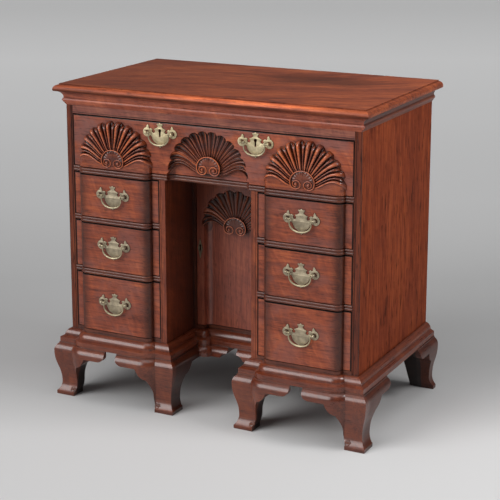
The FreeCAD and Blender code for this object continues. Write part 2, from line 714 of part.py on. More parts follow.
def back_bracket(side):
    """Plain bracket across the back of a rear foot."""
    bracket = new_body("back_bracket_body")
    steps = [
        ("foot_inset", "0"), ("back_bracket_foot", "0"), ("back_bracket_arch", "arch_height"),
        ("back_bracket_reach", "lobe_height"), ("back_bracket_reach", "foot_height"),
        ("foot_inset", "foot_height"),
    ]
    outline = facing(steps, hand(side, CASE_HALF), -side)
    pad(bracket, "y", [outline], "case_depth - back_bracket", "case_depth")
    return bracket


def make_feet():
    front_block = ("foot_inset", "foot_inset + foot_block")
    rear_block = ("case_depth - back_bracket - foot_block", "case_depth - back_bracket")
    for side, label in ((LEFT, "left"), (RIGHT, "right")):
        for corner, outward, place in ((CASE_HALF, 1, "outer"), (KNEE_HALF, -1, "inner")):
            node(f"foot_{label}_{place}", front_bracket(side, corner, outward),
                 flank_bracket(side, corner, outward), corner_block(side, corner, outward, front_block))
        node(f"foot_{label}_rear", flank_bracket(side, CASE_HALF, 1, is_rear=True), back_bracket(side),
             corner_block(side, CASE_HALF, 1, rear_block))


def make_skirt():
    """Two lobed lengths under the cupboard, with a gap between their tips."""
    halves = []
    recess = "kneehole_depth + block_depth"
    for side in (LEFT, RIGHT):
        half = new_body("skirt_half")
        section = skirt_section("-foot_inset")
        pad(half, "x", [facing(section, recess, -1)], *span(side, "skirt_gap / 2", DOOR_RECESS))
        step_back(half, skirt_section("0"), side, KNEE_HALF)
        tip = ("skirt_gap / 2", "tip_height")
        lobe = ("skirt_gap / 2 + bracket_reach - lobe_end", "lobe_height")
        waste = [("skirt_gap / 2", "lobe_height - saw_slack"), tip,
                 (*lobe, bow(tip, lobe, "tip_bow"), CONVEX), (lobe[0], "lobe_height - saw_slack")]
        cut(half, "y", [facing(waste, "0", side)], "kneehole_depth - mitre_reach", f"{recess} + mitre_reach")
        inner_mitre(half, FRONT_RUN, side, hand(side, KNEE_HALF), "kneehole_depth")
        halves.append(half)
    node("kneehole_skirt", *halves)


# Drawers


def drawer_box(x_span, floor, height, front_back):
    """Sides, back and bottom of a drawer behind its front."""
    low = f"({floor} + runner_clearance)"
    z_span = (low, f"{floor} + {height} - drawer_headroom")
    left, right = f"({x_span[0]} + box_clearance)", f"({x_span[1]} - box_clearance)"
    back = "drawer_depth - drawer_side"
    inside = (f"{left} + drawer_side", f"{right} - drawer_side")
    lift = f"{low} + drawer_bottom_lift"
    return [
        board("drawer_left", (left, inside[0]), (front_back, "drawer_depth"), z_span),
        board("drawer_right", (inside[1], right), (front_back, "drawer_depth"), z_span),
        board("drawer_back", inside, (back, "drawer_depth"), z_span),
        board("drawer_bottom", inside, (front_back, back), (lift, f"{lift} + drawer_bottom")),
    ]


def post_holes(place, height):
    return [(f"{place} + {end} * post_half", height, "post_hole") for end in (LEFT, RIGHT)]


def plate_outline(place, height):
    """Backplate with a stepped crown, two eared lobes round the posts and a pointed disc."""
    ear_top = "sqrt(ear_radius^2 - ear_leaf_half^2)"
    ear_foot = "sqrt(ear_radius^2 - ear_root^2)"
    disc_side = "sqrt(disc_radius^2 - disc_root^2)"
    disc_foot = "sqrt(disc_radius^2 - tip_half^2)"
    notch = "sqrt(notch_radius^2 - notch_mouth^2)"
    right = [
        ("0", "crown_rise"), ("crown_half", "crown_step"), ("crown_neck", "crown_neck_rise"),
        ("shoulder_half", "shoulder_rise"), (f"shoulder_half - {notch}", "notch_rise + notch_mouth"),
        ("shoulder_half", "notch_rise - notch_radius", "notch_radius", HOLLOW),
        (f"shoulder_half + {notch}", "notch_rise + notch_mouth", "notch_radius", HOLLOW),
        ("post_half - ear_leaf_half", ear_top), ("post_half", "ear_leaf_rise"),
        ("post_half + ear_leaf_half", ear_top), ("post_half + ear_radius", "0", "ear_radius", CONVEX),
        ("post_half", "-ear_radius", "ear_radius", CONVEX),
        ("post_half - ear_root", f"-{ear_foot}", "ear_radius", CONVEX),
        (disc_side, "disc_root - disc_drop"),
        ("tip_half", f"-disc_drop - {disc_foot}", "disc_radius", CONVEX), ("0", "-tip_drop"),
    ]
    left = []
    for step, after in zip(right[-2:0:-1], right[:1:-1]):
        left.append((minus(step[0]), step[1], *after[2:]))
    return [(f"{place} + {step[0]}", f"{height} + {step[1]}", *step[2:]) for step in [*right, *left]]


def keyhole_outline(place, height):
    """Round head over a straight slot."""
    side = "sqrt(keyhole_radius^2 - keyhole_slot^2)"
    foot = f"{height} - keyhole_drop"
    return [
        (f"{place} - keyhole_slot", foot), (f"{place} + keyhole_slot", foot),
        (f"{place} + keyhole_slot", f"{height} - {side}"),
        (place, f"{height} + keyhole_radius", "keyhole_radius", HOLLOW),
        (f"{place} - keyhole_slot", f"{height} - {side}", "keyhole_radius", HOLLOW),
    ]


def pull(place, height, face, back, has_keyhole):
    """Backplate, two posts and their nuts, without the bail."""
    plate = new_body("backplate")
    outlines = [plate_outline(place, height), *post_holes(place, height)]
    if has_keyhole:
        outlines.append(keyhole_outline(place, f"{height} + shoulder_rise - keyhole_radius"))
    plate_front = f"({face} - plate_thickness)"
    pad(plate, "y", [*outlines], plate_front, face)
    pieces = [plate]
    stand = f"({plate_front} - bail_stand)"
    for end in (LEFT, RIGHT):
        at = {"x_place": f"{place} + {end} * post_half", "z_place": height}
        knob = doc.addObject("Part::Sphere", "post_ball")
        tie(knob, Radius="ball_radius", Placement__Base__x=at["x_place"], Placement__Base__y=stand,
            Placement__Base__z=height)
        post = joined(
            "post", knob,
            rod("post_shank", "post_radius", "y", stand, f"{back} + nut_height", **at),
            rod("post_neck", "neck_radius", "y", stand, plate_front, **at),
            rod("post_collar", "collar_radius", "y", f"{plate_front} - collar_height", plate_front, **at),
        )
        deep = "post_half - ball_radius + bail_hold + knuckle_clearance"
        bore_ends = span(end, "post_half - ball_radius - saw_slack", deep)
        bore = rod("post_bore", "bail_pin + bail_clearance", "x", f"{place} + {bore_ends[0]}",
                   f"{place} + {bore_ends[1]}", y_place=stand, z_place=height)
        through = (f"{back} - saw_slack", f"{back} + nut_height + saw_slack")
        nut = less("nut", rod("nut_round", "nut_radius", "y", back, f"{back} + nut_height", **at),
                   rod("nut_bore", "post_hole", "y", *through, **at))
        pieces += [less("post_bored", post, bore), nut]
    return pieces


def bail(label, place, height, face):
    """Drop handle: two arms, a rounded bottom, and pins that turn in the posts."""
    handle = new_body(label + "_wire")
    stand = f"({face} - plate_thickness - bail_stand)"
    depth = "(bail_drop - bail_arm)"
    inset = "(bail_half - bail_bend)"
    sweep = f"(({inset}^2 + {depth}^2 - bail_bend^2) / (2 * ({depth} - bail_bend)))"
    share = f"(bail_bend / ({sweep} - bail_bend))"
    join_out = f"({inset} + {inset} * {share})"
    join_down = f"(bail_arm + ({depth} - {sweep}) * {share} * -1)"
    path = new_path(handle, stand, [
        (f"{place} - bail_half", height), (f"{place} - bail_half", f"{height} - bail_arm"),
        (f"{place} - {join_out}", f"{height} - {join_down}", "bail_bend", HOLLOW),
        (f"{place} + {join_out}", f"{height} - {join_down}", sweep, HOLLOW),
        (f"{place} + bail_half", f"{height} - bail_arm", "bail_bend", HOLLOW),
        (f"{place} + bail_half", height),
    ])
    ring = draw(handle, "XY_Plane", [(f"{place} - bail_half", stand, "bail_radius")], away=height)
    pipe = handle.newObject("PartDesign::AdditivePipe", label + "_pipe")
    pipe.Profile = ring
    doc.recompute()
    pipe.Spine = (path, [f"Edge{index}" for index in range(1, len(path.Shape.Edges) + 1)])
    for end in (LEFT, RIGHT):
        pin = span(end, "bail_half", "post_half - ball_radius + bail_hold")
        knob = span(end, "bail_half - bail_knob_half", "bail_half + bail_knob_half")
        pad(handle, "x", [(stand, height, "bail_pin")], f"{place} + {pin[0]}", f"{place} + {pin[1]}")
        pad(handle, "x", [(stand, height, "bail_knob")], f"{place} + {knob[0]}", f"{place} + {knob[1]}")
    node(label, handle)


def new_path(body, y_place, steps):
    """An open line of straights and arcs in an upright plane."""
    sketch = draw(body, "XZ_Plane", [], away=minus(y_place))
    points = [FreeCAD.Vector(number(step[0]), number(step[1]), 0) for step in steps]
    for start, end, step in zip(points, points[1:], steps[1:]):
        if len(step) == 2:
            sketch.addGeometry(Part.LineSegment(start, end), False)
            continue
        radius, chord = number(step[2]), end - start
        lift = math.sqrt(max(radius ** 2 - chord.Length ** 2 / 4, 0))
        centre = (start + end) / 2 + FreeCAD.Vector(-chord.y, chord.x, 0).normalize() * lift * step[3]
        angles = [math.atan2(point.y - centre.y, point.x - centre.x) for point in (start, end)]
        circle = Part.Circle(centre, FreeCAD.Vector(0, 0, 1), radius)
        sketch.addGeometry(Part.ArcOfCircle(circle, *angles), False)
    for edge, step in enumerate(steps[1:]):
        if edge:
            sketch.addConstraint(Sketcher.Constraint("Coincident", edge - 1, 2, edge, 1))
        if len(step) == 4:
            held = sketch.addConstraint(Sketcher.Constraint("Radius", edge, number(step[2])))
            sketch.setExpression(f"Constraints[{held}]", bound(step[2]))
        hold_point(sketch, edge, 2, step[0], step[1])
    hold_point(sketch, 0, 1, *steps[0])
    return sketch


PULL_LIFT = "(tip_drop - crown_rise) / 2"


def make_short_drawers():
    rows = (("low", FLOOR_TOP, "low_drawer"), ("middle", MIDDLE_FLOOR, "middle_drawer"),
            ("high", HIGH_FLOOR, "high_drawer"))
    for side, hand_name in ((LEFT, "left"), (RIGHT, "right")):
        for row, floor, height in rows:
            name = f"{hand_name}_{row}"
            place = hand(side, PEDESTAL_MIDDLE)
            pull_height = f"({floor} + {height} / 2 + {PULL_LIFT})"
            front = new_body(name + "_front_body")
            edges = (f"{PARTITION_FACE} + drawer_gap", f"{SIDE_FACE} - drawer_gap")
            plan = block_plan(side, *edges, "front_thickness")
            pad(front, "z", [plan], f"{floor} + drawer_gap", f"{floor} + {height} - drawer_head_gap")
            cut(front, "y", post_holes(place, pull_height), "-(block_depth + saw_slack)",
                "front_thickness + saw_slack")
            node(name + "_drawer_front", front)
            node(name + "_drawer_box",
                 *drawer_box(span(side, PARTITION_FACE, SIDE_FACE), floor, height, "front_thickness"))
            node(name + "_pull", *pull(place, pull_height, "(-block_depth)", "front_thickness", False))
            bail(name + "_bail", place, pull_height, "(-block_depth)")


def boss(body, place, height, floor):
    """Centre of a shell: a disc with a raised rim and two volutes, cut off level below."""
    pad(body, "y", [(place, height, "boss_radius")], f"{floor} - boss_depth", floor)
    pad(body, "y", [(place, height, "boss_radius"), (place, height, "boss_radius - boss_rim")],
        f"{floor} - boss_depth - boss_lip", f"{floor} - boss_depth")
    volutes = []
    for end in (LEFT, RIGHT):
        volutes.append((f"{place} + {end} * volute_out", f"{height} - volute_drop", "volute_radius"))
    pad(body, "y", volutes, f"{floor} - boss_depth - boss_lip", f"{floor} - boss_depth")


def swung(body, feature, profile, axis, is_reversed):
    """Repeat a lobe through half a turn."""
    fan = body.newObject("PartDesign::PolarPattern", body.Name + "_fan")
    fan.Originals = [feature]
    fan.Axis = (profile, [axis])
    fan.Angle = HALF
    fan.Reversed = is_reversed
    tie(fan, Occurrences="shell_lobes")
    body.Tip = fan


def raised_shell(side):
    """Applied shell: round-ended lobes that spread from the boss and end the block."""
    shell = new_body("raised_shell")
    place = hand(side, PEDESTAL_MIDDLE)
    low = f"{LONG_FLOOR} + drawer_gap"
    pad(shell, "z", [block_steps(side)], low, f"{LONG_FLOOR} + shell_base")
    ring = (f"{place} - shell_ring", SHELL_CENTRE)
    backing = [
        (f"{place} - shell_ring", low), (f"{place} + shell_ring", low),
        (f"{place} + shell_ring", SHELL_CENTRE),
        (place, f"{SHELL_CENTRE} + shell_ring", "shell_ring", HOLLOW), (*ring, "shell_ring", HOLLOW),
    ]
    lobe_plane = "(shell_lobe - block_depth)"
    pad(shell, "y", [backing], lobe_plane, "0")
    lobe = [
        ("shell_root", "0"), ("shell_root", "shell_root_lobe"), ("shell_ring", "shell_lobe"),
        ("shell_ring + shell_lobe", "0", "shell_lobe", CONVEX),
    ]
    profile = draw(shell, "XZ_Plane", [lobe], away=minus(lobe_plane), across=place, up=SHELL_CENTRE)
    ray = shell.newObject("PartDesign::Revolution", "shell_ray")
    ray.Profile = profile
    ray.ReferenceAxis = (profile, ["H_Axis"])
    ray.Angle = WHOLE
    doc.recompute()
    swung(shell, ray, profile, "N_Axis", False)
    wide = (f"{place} - 2 * shell_ring", f"{place} + 2 * shell_ring")
    cut(shell, "y", [rectangle(*wide, f"{LONG_FLOOR} - saw_slack", TOP_UNDER)], "0", "block_depth")
    boss(shell, place, SHELL_CENTRE, "(boss_depth + boss_lip - block_depth)")
    under = rectangle(f"{place} - shell_ring", f"{place} + shell_ring", "-2 * block_depth", "block_depth")
    cut(shell, "z", [under], f"{LONG_FLOOR} - boss_radius", low)
    return shell


def hollow_shell(body, height, face, ring):
    """Carve a shallow bowl, and in it a fan of round-ended hollows that deepen towards the boss."""
    doc.recompute()
    before = body.Shape.Volume
    bowl = [
        ("0", f"{face} - saw_slack"), (ring, f"{face} - saw_slack"), (ring, face),
        ("shell_root", f"{face} + hollow_root"), ("0", f"{face} + hollow_root"),
    ]
    bowl_profile = draw(body, "XY_Plane", [bowl], away=height)
    dish = body.newObject("PartDesign::Groove", "shell_bowl")
    dish.Profile = bowl_profile
    dish.ReferenceAxis = (bowl_profile, ["V_Axis"])
    dish.Angle = WHOLE
    run = f"({ring} - shell_root)"
    slope = f"sqrt({run}^2 + hollow_root^2)"
    along = (f"({run} / {slope})", f"(hollow_root / {slope})")

    def beside(way, out):
        """A point a way along the sloping axis from its rim end, and out from it."""
        return (f"{ring} + ({way}) * {along[0]} + ({out}) * {along[1]}",
                f"{face} - ({way}) * {along[1]} + ({out}) * {along[0]}")

    lobe = [
        beside(minus(slope), "0"), beside("shell_lobe", "0"),
        (*beside("0", "shell_lobe"), "shell_lobe", HOLLOW), beside(minus(slope), "hollow_root_lobe"),
    ]
    profile = draw(body, "XY_Plane", [lobe], away=height)
    axis = profile.addGeometry(Part.LineSegment(
        *(FreeCAD.Vector(number(point[0]), number(point[1]), 0) for point in lobe[:2])), True)
    for end, point in ((1, lobe[0]), (2, lobe[1])):
        hold_point(profile, axis, end, *point)
    ray = body.newObject("PartDesign::Groove", "shell_hollow")
    ray.Profile = profile
    ray.ReferenceAxis = (profile, ["Axis0"])
    ray.Angle = WHOLE
    doc.recompute()
    swung(body, ray, profile, "V_Axis", True)
    doc.recompute()
    if body.Shape.Volume >= before:
        raise ValueError(f"{body.Name}: the shell took nothing away")


def make_long_drawer():
    low, high = f"{LONG_FLOOR} + drawer_gap", f"{LONG_TOP} - drawer_head_gap"
    end = f"({SIDE_FACE} - drawer_gap)"
    pull_height = f"({LONG_FLOOR} + long_pull_rise)"
    front = new_body("long_front_body")
    pad(front, "z", [rectangle(minus(end), end, "0", "long_front_thickness")], low, high)
    mouth = [("recess_half", "-saw_slack"), ("-recess_half", "-saw_slack")]
    cut(front, "z", [[*mouth, *recess_steps("recess_half", "0")]], f"{LONG_FLOOR} - saw_slack", SHELL_CENTRE)
    hollow_shell(front, SHELL_CENTRE, "0", "shell_ring")
    boss(front, "0", SHELL_CENTRE, "(block_depth + boss_lip)")
    under = rectangle("-boss_radius", "boss_radius", "-block_depth", "long_front_thickness")
    cut(front, "z", [under], f"{LONG_FLOOR} - boss_radius", low)
    places = [hand(side, "long_pull_place") for side in (LEFT, RIGHT)]
    holes = [hole for place in places for hole in post_holes(place, pull_height)]
    cut(front, "y", holes, "-saw_slack", "long_front_thickness + saw_slack")
    node("long_drawer_front", front)
    node("left_shell", raised_shell(LEFT))
    node("right_shell", raised_shell(RIGHT))
    node("long_drawer_box",
         *drawer_box((minus(SIDE_FACE), SIDE_FACE), LONG_FLOOR, "long_drawer", "long_front_thickness"))
    pulls, locks = [], []
    for place in places:
        pulls += pull(place, pull_height, "0", "long_front_thickness", True)
        locks.append(board("drawer_lock", (f"{place} - lock_width / 2", f"{place} + lock_width / 2"),
                           ("long_front_thickness", "long_front_thickness + lock_depth"),
                           (f"{high} - lock_drop - lock_height", f"{high} - lock_drop")))
    node("long_drawer_pulls", *pulls)
    node("long_drawer_locks", *locks)
    for place, name in zip(places, ("left", "right")):
        bail(f"long_{name}_bail", place, pull_height, "0")


# Cupboard


def make_cupboard():
    jambs = []
    depth = ("kneehole_depth", "kneehole_depth + jamb_depth")
    for side in (LEFT, RIGHT):
        jambs.append(board("jamb", span(side, JAMB_FACE, KNEE_HALF), depth, (FLOOR_TOP, LONG_BLADE)))
    node("door_jambs", *jambs)
    node("cupboard_shelf", board("shelf", (minus(KNEE_HALF), KNEE_HALF),
                                 (f"{DOOR_BACK} + shelf_setback", BACK_FACE),
                                 ("shelf_height", "shelf_height + shelf_thickness")))


DOOR_LEFT = f"(door_gap - {JAMB_FACE})"
DOOR_RIGHT = f"({JAMB_FACE} - hinge_gap)"


def make_door():
    low, high = f"{FLOOR_TOP} + door_gap", f"{LONG_BLADE} - door_gap"
    door = new_body("door_body")
    pad(door, "z", [rectangle(DOOR_LEFT, DOOR_RIGHT, "kneehole_depth", DOOR_BACK)], low, high)
    front = "kneehole_depth - saw_slack"
    hollow = [(DOOR_RECESS, front), (minus(DOOR_RECESS), front), *recess_steps(DOOR_RECESS, "kneehole_depth")]
    cut(door, "z", [hollow], f"{FLOOR_TOP} - saw_slack", "door_shell_height")
    hollow_shell(door, "door_shell_height", "kneehole_depth", "door_shell_ring")
    boss(door, "0", "door_shell_height", "(kneehole_depth + block_depth + boss_lip)")
    node("cupboard_door", door)
    middle = f"({DOOR_LEFT} + door_margin / 2)"
    plate = new_body("escutcheon_plate")
    outline = []
    for way, steps in (("-", ("+", "", "-")), ("+", ("-", "", "+"))):
        outline.append((middle, f"escutcheon_height {steps[0]} escutcheon_rise"))
        for step in steps:
            out = "escutcheon_waist" if step else "escutcheon_half"
            height = f"escutcheon_height {step} escutcheon_half" if step else "escutcheon_height"
            outline.append((f"{middle} {way} {out}", height))
    pad(plate, "y", [outline, keyhole_outline(middle, "escutcheon_height + keyhole_drop / 2")],
        "kneehole_depth - escutcheon_thickness", "kneehole_depth")
    node("door_escutcheon", plate)
    node("door_lock", board("door_lock_case", (DOOR_LEFT, f"{DOOR_LEFT} + lock_height"),
                            (DOOR_BACK, f"{DOOR_BACK} + lock_depth"),
                            ("escutcheon_height - lock_width / 2", "escutcheon_height + lock_width / 2")))


def make_hinges():
    """Pair of butt hinges: leaf, outer knuckles and pin on the jamb; leaf and middle knuckle on the door."""
    pin = {"x_place": f"({JAMB_FACE} - hinge_gap / 2)", "y_place": "(kneehole_depth - barrel_radius)"}
    behind = "kneehole_depth + knuckle_clearance"
    depth = (behind, "kneehole_depth + hinge_depth")
    tab = (pin["y_place"], "kneehole_depth + 2 * knuckle_clearance")
    jamb_leaf = (f"{JAMB_FACE} - hinge_leaf", JAMB_FACE)
    door_leaf = (DOOR_RIGHT, f"{DOOR_RIGHT} + hinge_leaf")
    fixed, moving = [], []
    for centre in (f"({FLOOR_TOP} + hinge_inset)", f"({LONG_BLADE} - hinge_inset)"):
        low, high = f"{centre} - hinge_height / 2", f"{centre} + hinge_height / 2"
        lower, upper = f"{centre} - hinge_height / 6", f"{centre} + hinge_height / 6"
        knuckle = (f"{lower} + knuckle_clearance", f"{upper} - knuckle_clearance")
        pieces = [board("jamb_leaf", jamb_leaf, depth, (low, high)),
                  rod("hinge_pin", "pin_radius", "z", low, high, **pin)]
        for start, end in ((low, lower), (upper, high)):
            pieces += [rod("jamb_knuckle", "barrel_radius", "z", start, end, **pin),
                       board("jamb_tab", jamb_leaf, tab, (start, end))]
        fixed.append(joined("jamb_hinge", *pieces))
        swinging = joined("door_hinge", board("door_leaf", door_leaf, depth, (low, high)),
                          rod("door_knuckle", "barrel_radius", "z", *knuckle, **pin),
                          board("door_tab", door_leaf, tab, knuckle))
        moving.append(less("door_hinge_bored", swinging,
                           rod("hinge_bore", "pin_radius + pin_clearance", "z", low, high, **pin)))
    node("jamb_hinges", *fixed)
    node("door_hinges", *moving)


for make in (make_top, make_cove, make_sides, make_partitions, make_back, make_bottom, make_rails,
             make_long_blade, make_short_blades, make_runners, make_base, make_feet, make_skirt,
             make_short_drawers, make_long_drawer, make_cupboard, make_door, make_hinges):
    make()
doc.recompute()

failed = [item.Label for item in doc.Objects if {"Invalid", "Error"} & set(item.State)]
bad = [group.Label for group in nodes if group.Shape.isNull() or not group.Shape.isValid()]
if failed or bad:
    raise RuntimeError(f"failed objects {failed}, bad shapes {bad}")
os.makedirs("parts", exist_ok=True)
for group in nodes:
    group.Shape.exportStep(f"parts/{group.Label}.step")
    print(group.Label, len(group.Shape.Solids), round(group.Shape.Volume))
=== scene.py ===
"""Kneehole desk: finishes, carving, brass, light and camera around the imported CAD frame."""

import math
from collections import namedtuple

import bpy
import numpy as np
from mathutils import Euler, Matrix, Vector


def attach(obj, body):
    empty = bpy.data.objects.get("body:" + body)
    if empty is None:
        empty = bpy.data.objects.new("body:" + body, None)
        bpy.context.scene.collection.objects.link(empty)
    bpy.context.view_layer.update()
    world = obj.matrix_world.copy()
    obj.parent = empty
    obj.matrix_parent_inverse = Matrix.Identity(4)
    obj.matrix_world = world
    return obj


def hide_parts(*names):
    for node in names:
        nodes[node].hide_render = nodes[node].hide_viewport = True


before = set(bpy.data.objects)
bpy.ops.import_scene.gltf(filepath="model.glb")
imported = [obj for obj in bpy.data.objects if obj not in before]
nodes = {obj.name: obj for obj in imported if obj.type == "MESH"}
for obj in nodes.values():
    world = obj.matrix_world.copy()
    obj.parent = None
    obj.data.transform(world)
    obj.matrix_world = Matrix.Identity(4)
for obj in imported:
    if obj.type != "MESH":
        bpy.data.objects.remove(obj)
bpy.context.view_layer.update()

MM = 0.001
# face of the front stiles, in metres from the desk's middle and in millimetres
FRONT = -0.21975
FRONT_MM = FRONT / MM

# sizes of the desk, in millimetres: the middle of a pedestal, half of a block and how far it stands out
PEDESTAL, BLOCK_HALF, BLOCK_DEPTH = 273.25, 108.75, 18.0
# the long drawer's floor and top, half of its front, and the thickness of its front and of the short ones
LONG_FLOOR, LONG_TOP, LONG_HALF = 644.8, 780.0, 402.2
LONG_FRONT, SHORT_FRONT = 32, 22
# its pulls, and how far a keyhole's round is above their posts
LONG_PULL, LONG_PULL_LEVEL, KEYHOLE_UP = 137.5, 753, 5.9
KNEEHOLE_DEPTH = 146


# Shader maths


class Tone:
    """A socket in a finish. Sums on it add Math nodes, and node() adds any other."""

    def __init__(self, socket):
        self.socket = socket
        self.tree = socket.id_data

    def node(self, kind, settings=None, inputs=None, output=0):
        """Another node of this finish: its settings first, then what its sockets take."""
        made = self.tree.nodes.new("ShaderNode" + kind)
        for name, value in (settings or {}).items():
            if name == "stops":
                ramp = made.color_ramp.elements
                while len(ramp) < len(value):
                    ramp.new(1)
                for stop, (place, colour) in zip(ramp, value):
                    stop.position = place
                    stop.color = (*colour, 1)
            else:
                setattr(made, name, value)
        for name, value in (inputs or {}).items():
            feed(made.inputs[name], value)
        return Tone(made.outputs[output])

    def sum(self, operation, first, second=0.0):
        return self.node("Math", {"operation": operation}, {0: first, 1: second})

    def __add__(self, other):
        return self.sum("ADD", self, other)

    __radd__ = __add__

    def __sub__(self, other):
        return self.sum("SUBTRACT", self, other)

    def __rsub__(self, other):
        return self.sum("SUBTRACT", other, self)

    def __mul__(self, other):
        return self.sum("MULTIPLY", self, other)

    __rmul__ = __mul__

    def __truediv__(self, other):
        return self.sum("DIVIDE", self, other)

    def __pow__(self, other):
        return self.sum("POWER", self, other)

    def __gt__(self, other):
        return self.sum("GREATER_THAN", self, other)

    def __lt__(self, other):
        return self.sum("LESS_THAN", self, other)

    def __abs__(self):
        return self.sum("ABSOLUTE", self)

    def within(self, low, high):
        """0 below low, 1 above high, and a smooth rise between."""
        return self.node("MapRange", {"interpolation_type": "SMOOTHSTEP"},
                         {"Value": self, "From Min": low, "From Max": high})

    def between(self, first, second):
        """The first colour where this is 0, the second where it is 1."""
        return self.node("Mix", {"data_type": "RGBA"}, {0: self, 6: first, 7: second}, 2)

    def dim(self, amount):
        """This colour times an amount."""
        return self.node("VectorMath", {"operation": "SCALE"}, {0: self, "Scale": amount})

    def parts(self):
        split = self.node("SeparateXYZ", None, {0: self}).socket.node
        return [Tone(output) for output in split.outputs]

    def point(self, x, y, z):
        return self.node("CombineXYZ", None, {0: x, 1: y, 2: z})

    def noise(self, scale, detail=3.0, rough=0.5, swirl=0.0):
        """Cloudy noise, from 0 to 1, at this place."""
        return self.node("TexNoise", None, {"Vector": self, "Scale": scale, "Detail": detail,
                                            "Roughness": rough, "Distortion": swirl})

    def bump(self, strength, distance):
        """The normal of a surface with this height."""
        return self.node("Bump", None, {"Strength": strength, "Distance": distance, "Height": self})


def feed(socket, value):
    """Link or set a socket."""
    if isinstance(value, Tone):
        socket.id_data.links.new(value.socket, socket)
    elif isinstance(value, tuple) and len(value) == 3 and len(socket.default_value) == 4:
        socket.default_value = (*value, 1)
    else:
        socket.default_value = value


def new_finish(name):
    """A bare finish: its material, its shader and the place on the desk."""
    material = bpy.data.materials.new(name)
    material.use_nodes = True
    shader = material.node_tree.nodes["Principled BSDF"]
    place = Tone(material.node_tree.nodes.new("ShaderNodeTexCoord").outputs["Object"])
    return material, shader.inputs, place


# old wax gone lilac-brown, with a painted grey sheen, laid on in patches
HAZE_AND_SHEEN = (0.185, 0.07, 0.058)
# in metres: beyond END a moulding is on the end of the desk, and those of the kneehole's sides lie
# KNEEHOLE_SIDE from the middle, give or take KNEEHOLE_BAND
END = 0.4232
KNEEHOLE_SIDE, KNEEHOLE_BAND = 0.1, 0.0248
# how deep the painted shadow reaches into the gaps beside the drawers, in metres, and how dark it is
GAP_SHADOW_DEPTH, GAP_SHADOW_DARK = 0.005, 0.92
# heights of the tops of the short drawers, in metres
DRAWER_TOPS = (0.350, 0.493, 0.625)


def grime_and_shade(place, reach, strength):
    """1 in the open, less in corners and grooves, where it paints grime and shade."""
    open_air = place.node("AmbientOcclusion", {"samples": 6}, {"Distance": reach}, 1)
    return 1 - strength * (1 - open_air)


def grain(run, x, y, z):
    """Along the grain, then across it, for boards that run along x, y or z."""
    return {"x": (x, y, z), "y": (y, x, z), "z": (z, x, y)}[run]


def mahogany(name, run, pale, middle, deep, streak=1.0, mottle=0.5, fleck=0.4, bloom=0.6, dirt_and_shade=0.8,
             gloss=0.36, polish=0.1, sheen=0.36, pore=1.0, haze_and_sheen=0.0, shade=None, swirl=None, shine=None,
             carved=False):
    """Polished mahogany whose grain follows run: x, z, or round for mouldings that turn the corner.

    At each place, shade says how much light is left, shine how thick the polish is, and swirl how far
    the grain bends aside.
    """
    material, shader, place = new_finish(name)
    x, y, z = place.parts()
    if run == "round":
        on_side = (abs(x) > END) + (abs(abs(x) - KNEEHOLE_SIDE) < KNEEHOLE_BAND) * (y > FRONT)
        along, across, through = x + on_side * (y - x), y + on_side * (x - y), z
    else:
        along, across, through = grain(run, x, y, z)
    if swirl:
        across = across + swirl(x, y)
    bands = place.point(along * 1.6, across * 13, through * 13).noise(1.0, 2.0, 0.5, 0.3)
    streaks = place.point(along * 8, across * 130, through * 130).noise(1.0, 4.0, 0.6)
    lean = along + across * 0.4 + through * 0.4
    ribbons = place.point(lean * 55, across * 16, through * 16).noise(1.0, 3.0, 0.6, 0.9)
    fibres = place.point(along * 16, across * 380, through * 380).noise(1.0, 3.0, 0.6)
    clouds = place.noise(9.0, 3.0)
    pores = place.point(along * 40, across * 330, through * 330).noise(pore, 2.0, 0.5).within(0.57, 0.68)
    tone = 0.5 + (bands - 0.5) * streak * 0.55 + (streaks - 0.5) * streak * 1.1
    tone = tone + (ribbons - 0.5) * mottle + (clouds - 0.5) * bloom + (fibres - 0.5) * 0.6
    # pores, and grime with painted shade in corners, grooves and gaps
    light = (1 - pores * fleck) * grime_and_shade(place, 0.012, dirt_and_shade)
    if carved:
        # carved wood is paler and lighter on its crests and darker in its grooves: rubbed wear and grime,
        # with a painted highlight and shade
        wear = place.node("Attribute", {"attribute_name": "wear"}, None, 2)
        tone = tone + wear.within(0.55, 1.0) * 0.45
        light = light * (0.2 + 0.8 * wear.within(0.02, 0.5)) * (1 + 0.4 * wear.within(0.7, 0.95))
    colour = tone.node("ValToRGB", {"stops": [(0.08, deep), (0.5, middle), (0.92, pale)]}, {0: tone})
    if haze_and_sheen:
        # patches of old wax haze and painted sheen
        patches = place.point(along * 9, across * 16, through * 16).noise(1.0, 4.0, 0.6, 0.5)
        colour = (patches.within(0.42, 0.66) * haze_and_sheen).between(colour, HAZE_AND_SHEEN)
    if shade:
        light = light * shade(x, y, z)
    feed(shader["Base Color"], colour.dim(light))
    feed(shader["Roughness"], gloss + (fibres - 0.5) * 0.2 + (clouds - 0.5) * 0.16)
    feed(shader["Specular IOR Level"], sheen)
    feed(shader["Coat Weight"], shine(x, y, z) if shine else polish)
    feed(shader["Coat Roughness"], 0.2)
    relief = fibres * 0.6 - pores * 0.8
    feed(shader["Normal"], relief.bump(0.12, 0.0006))
    return material


def bare_wood(name, pale, deep, run):
    """Unpolished secondary wood of the hidden boards."""
    material, shader, place = new_finish(name)
    x, y, z = place.parts()
    along, across, through = grain(run, x, y, z)
    rings = place.point(along * 1.2, across * 30, through * 30).noise(1.0, 4.0, 0.6, 0.4)
    fibres = place.point(along * 10, across * 300, through * 300).noise(1.0, 3.0, 0.6)
    dust = place.noise(9.0, 4.0)
    tone = (0.2 + rings * 0.7 + (fibres - 0.5) * 0.5 + (dust - 0.5) * 0.5).within(0.0, 1.0)
    # darker in corners, with grime and painted shade
    feed(shader["Base Color"], tone.between(deep, pale).dim(grime_and_shade(place, 0.03, 0.6)))
    feed(shader["Roughness"], 0.62 + fibres * 0.25)
    feed(shader["Specular IOR Level"], 0.15)
    feed(shader["Normal"], fibres.bump(0.25, 0.0008))
    return material


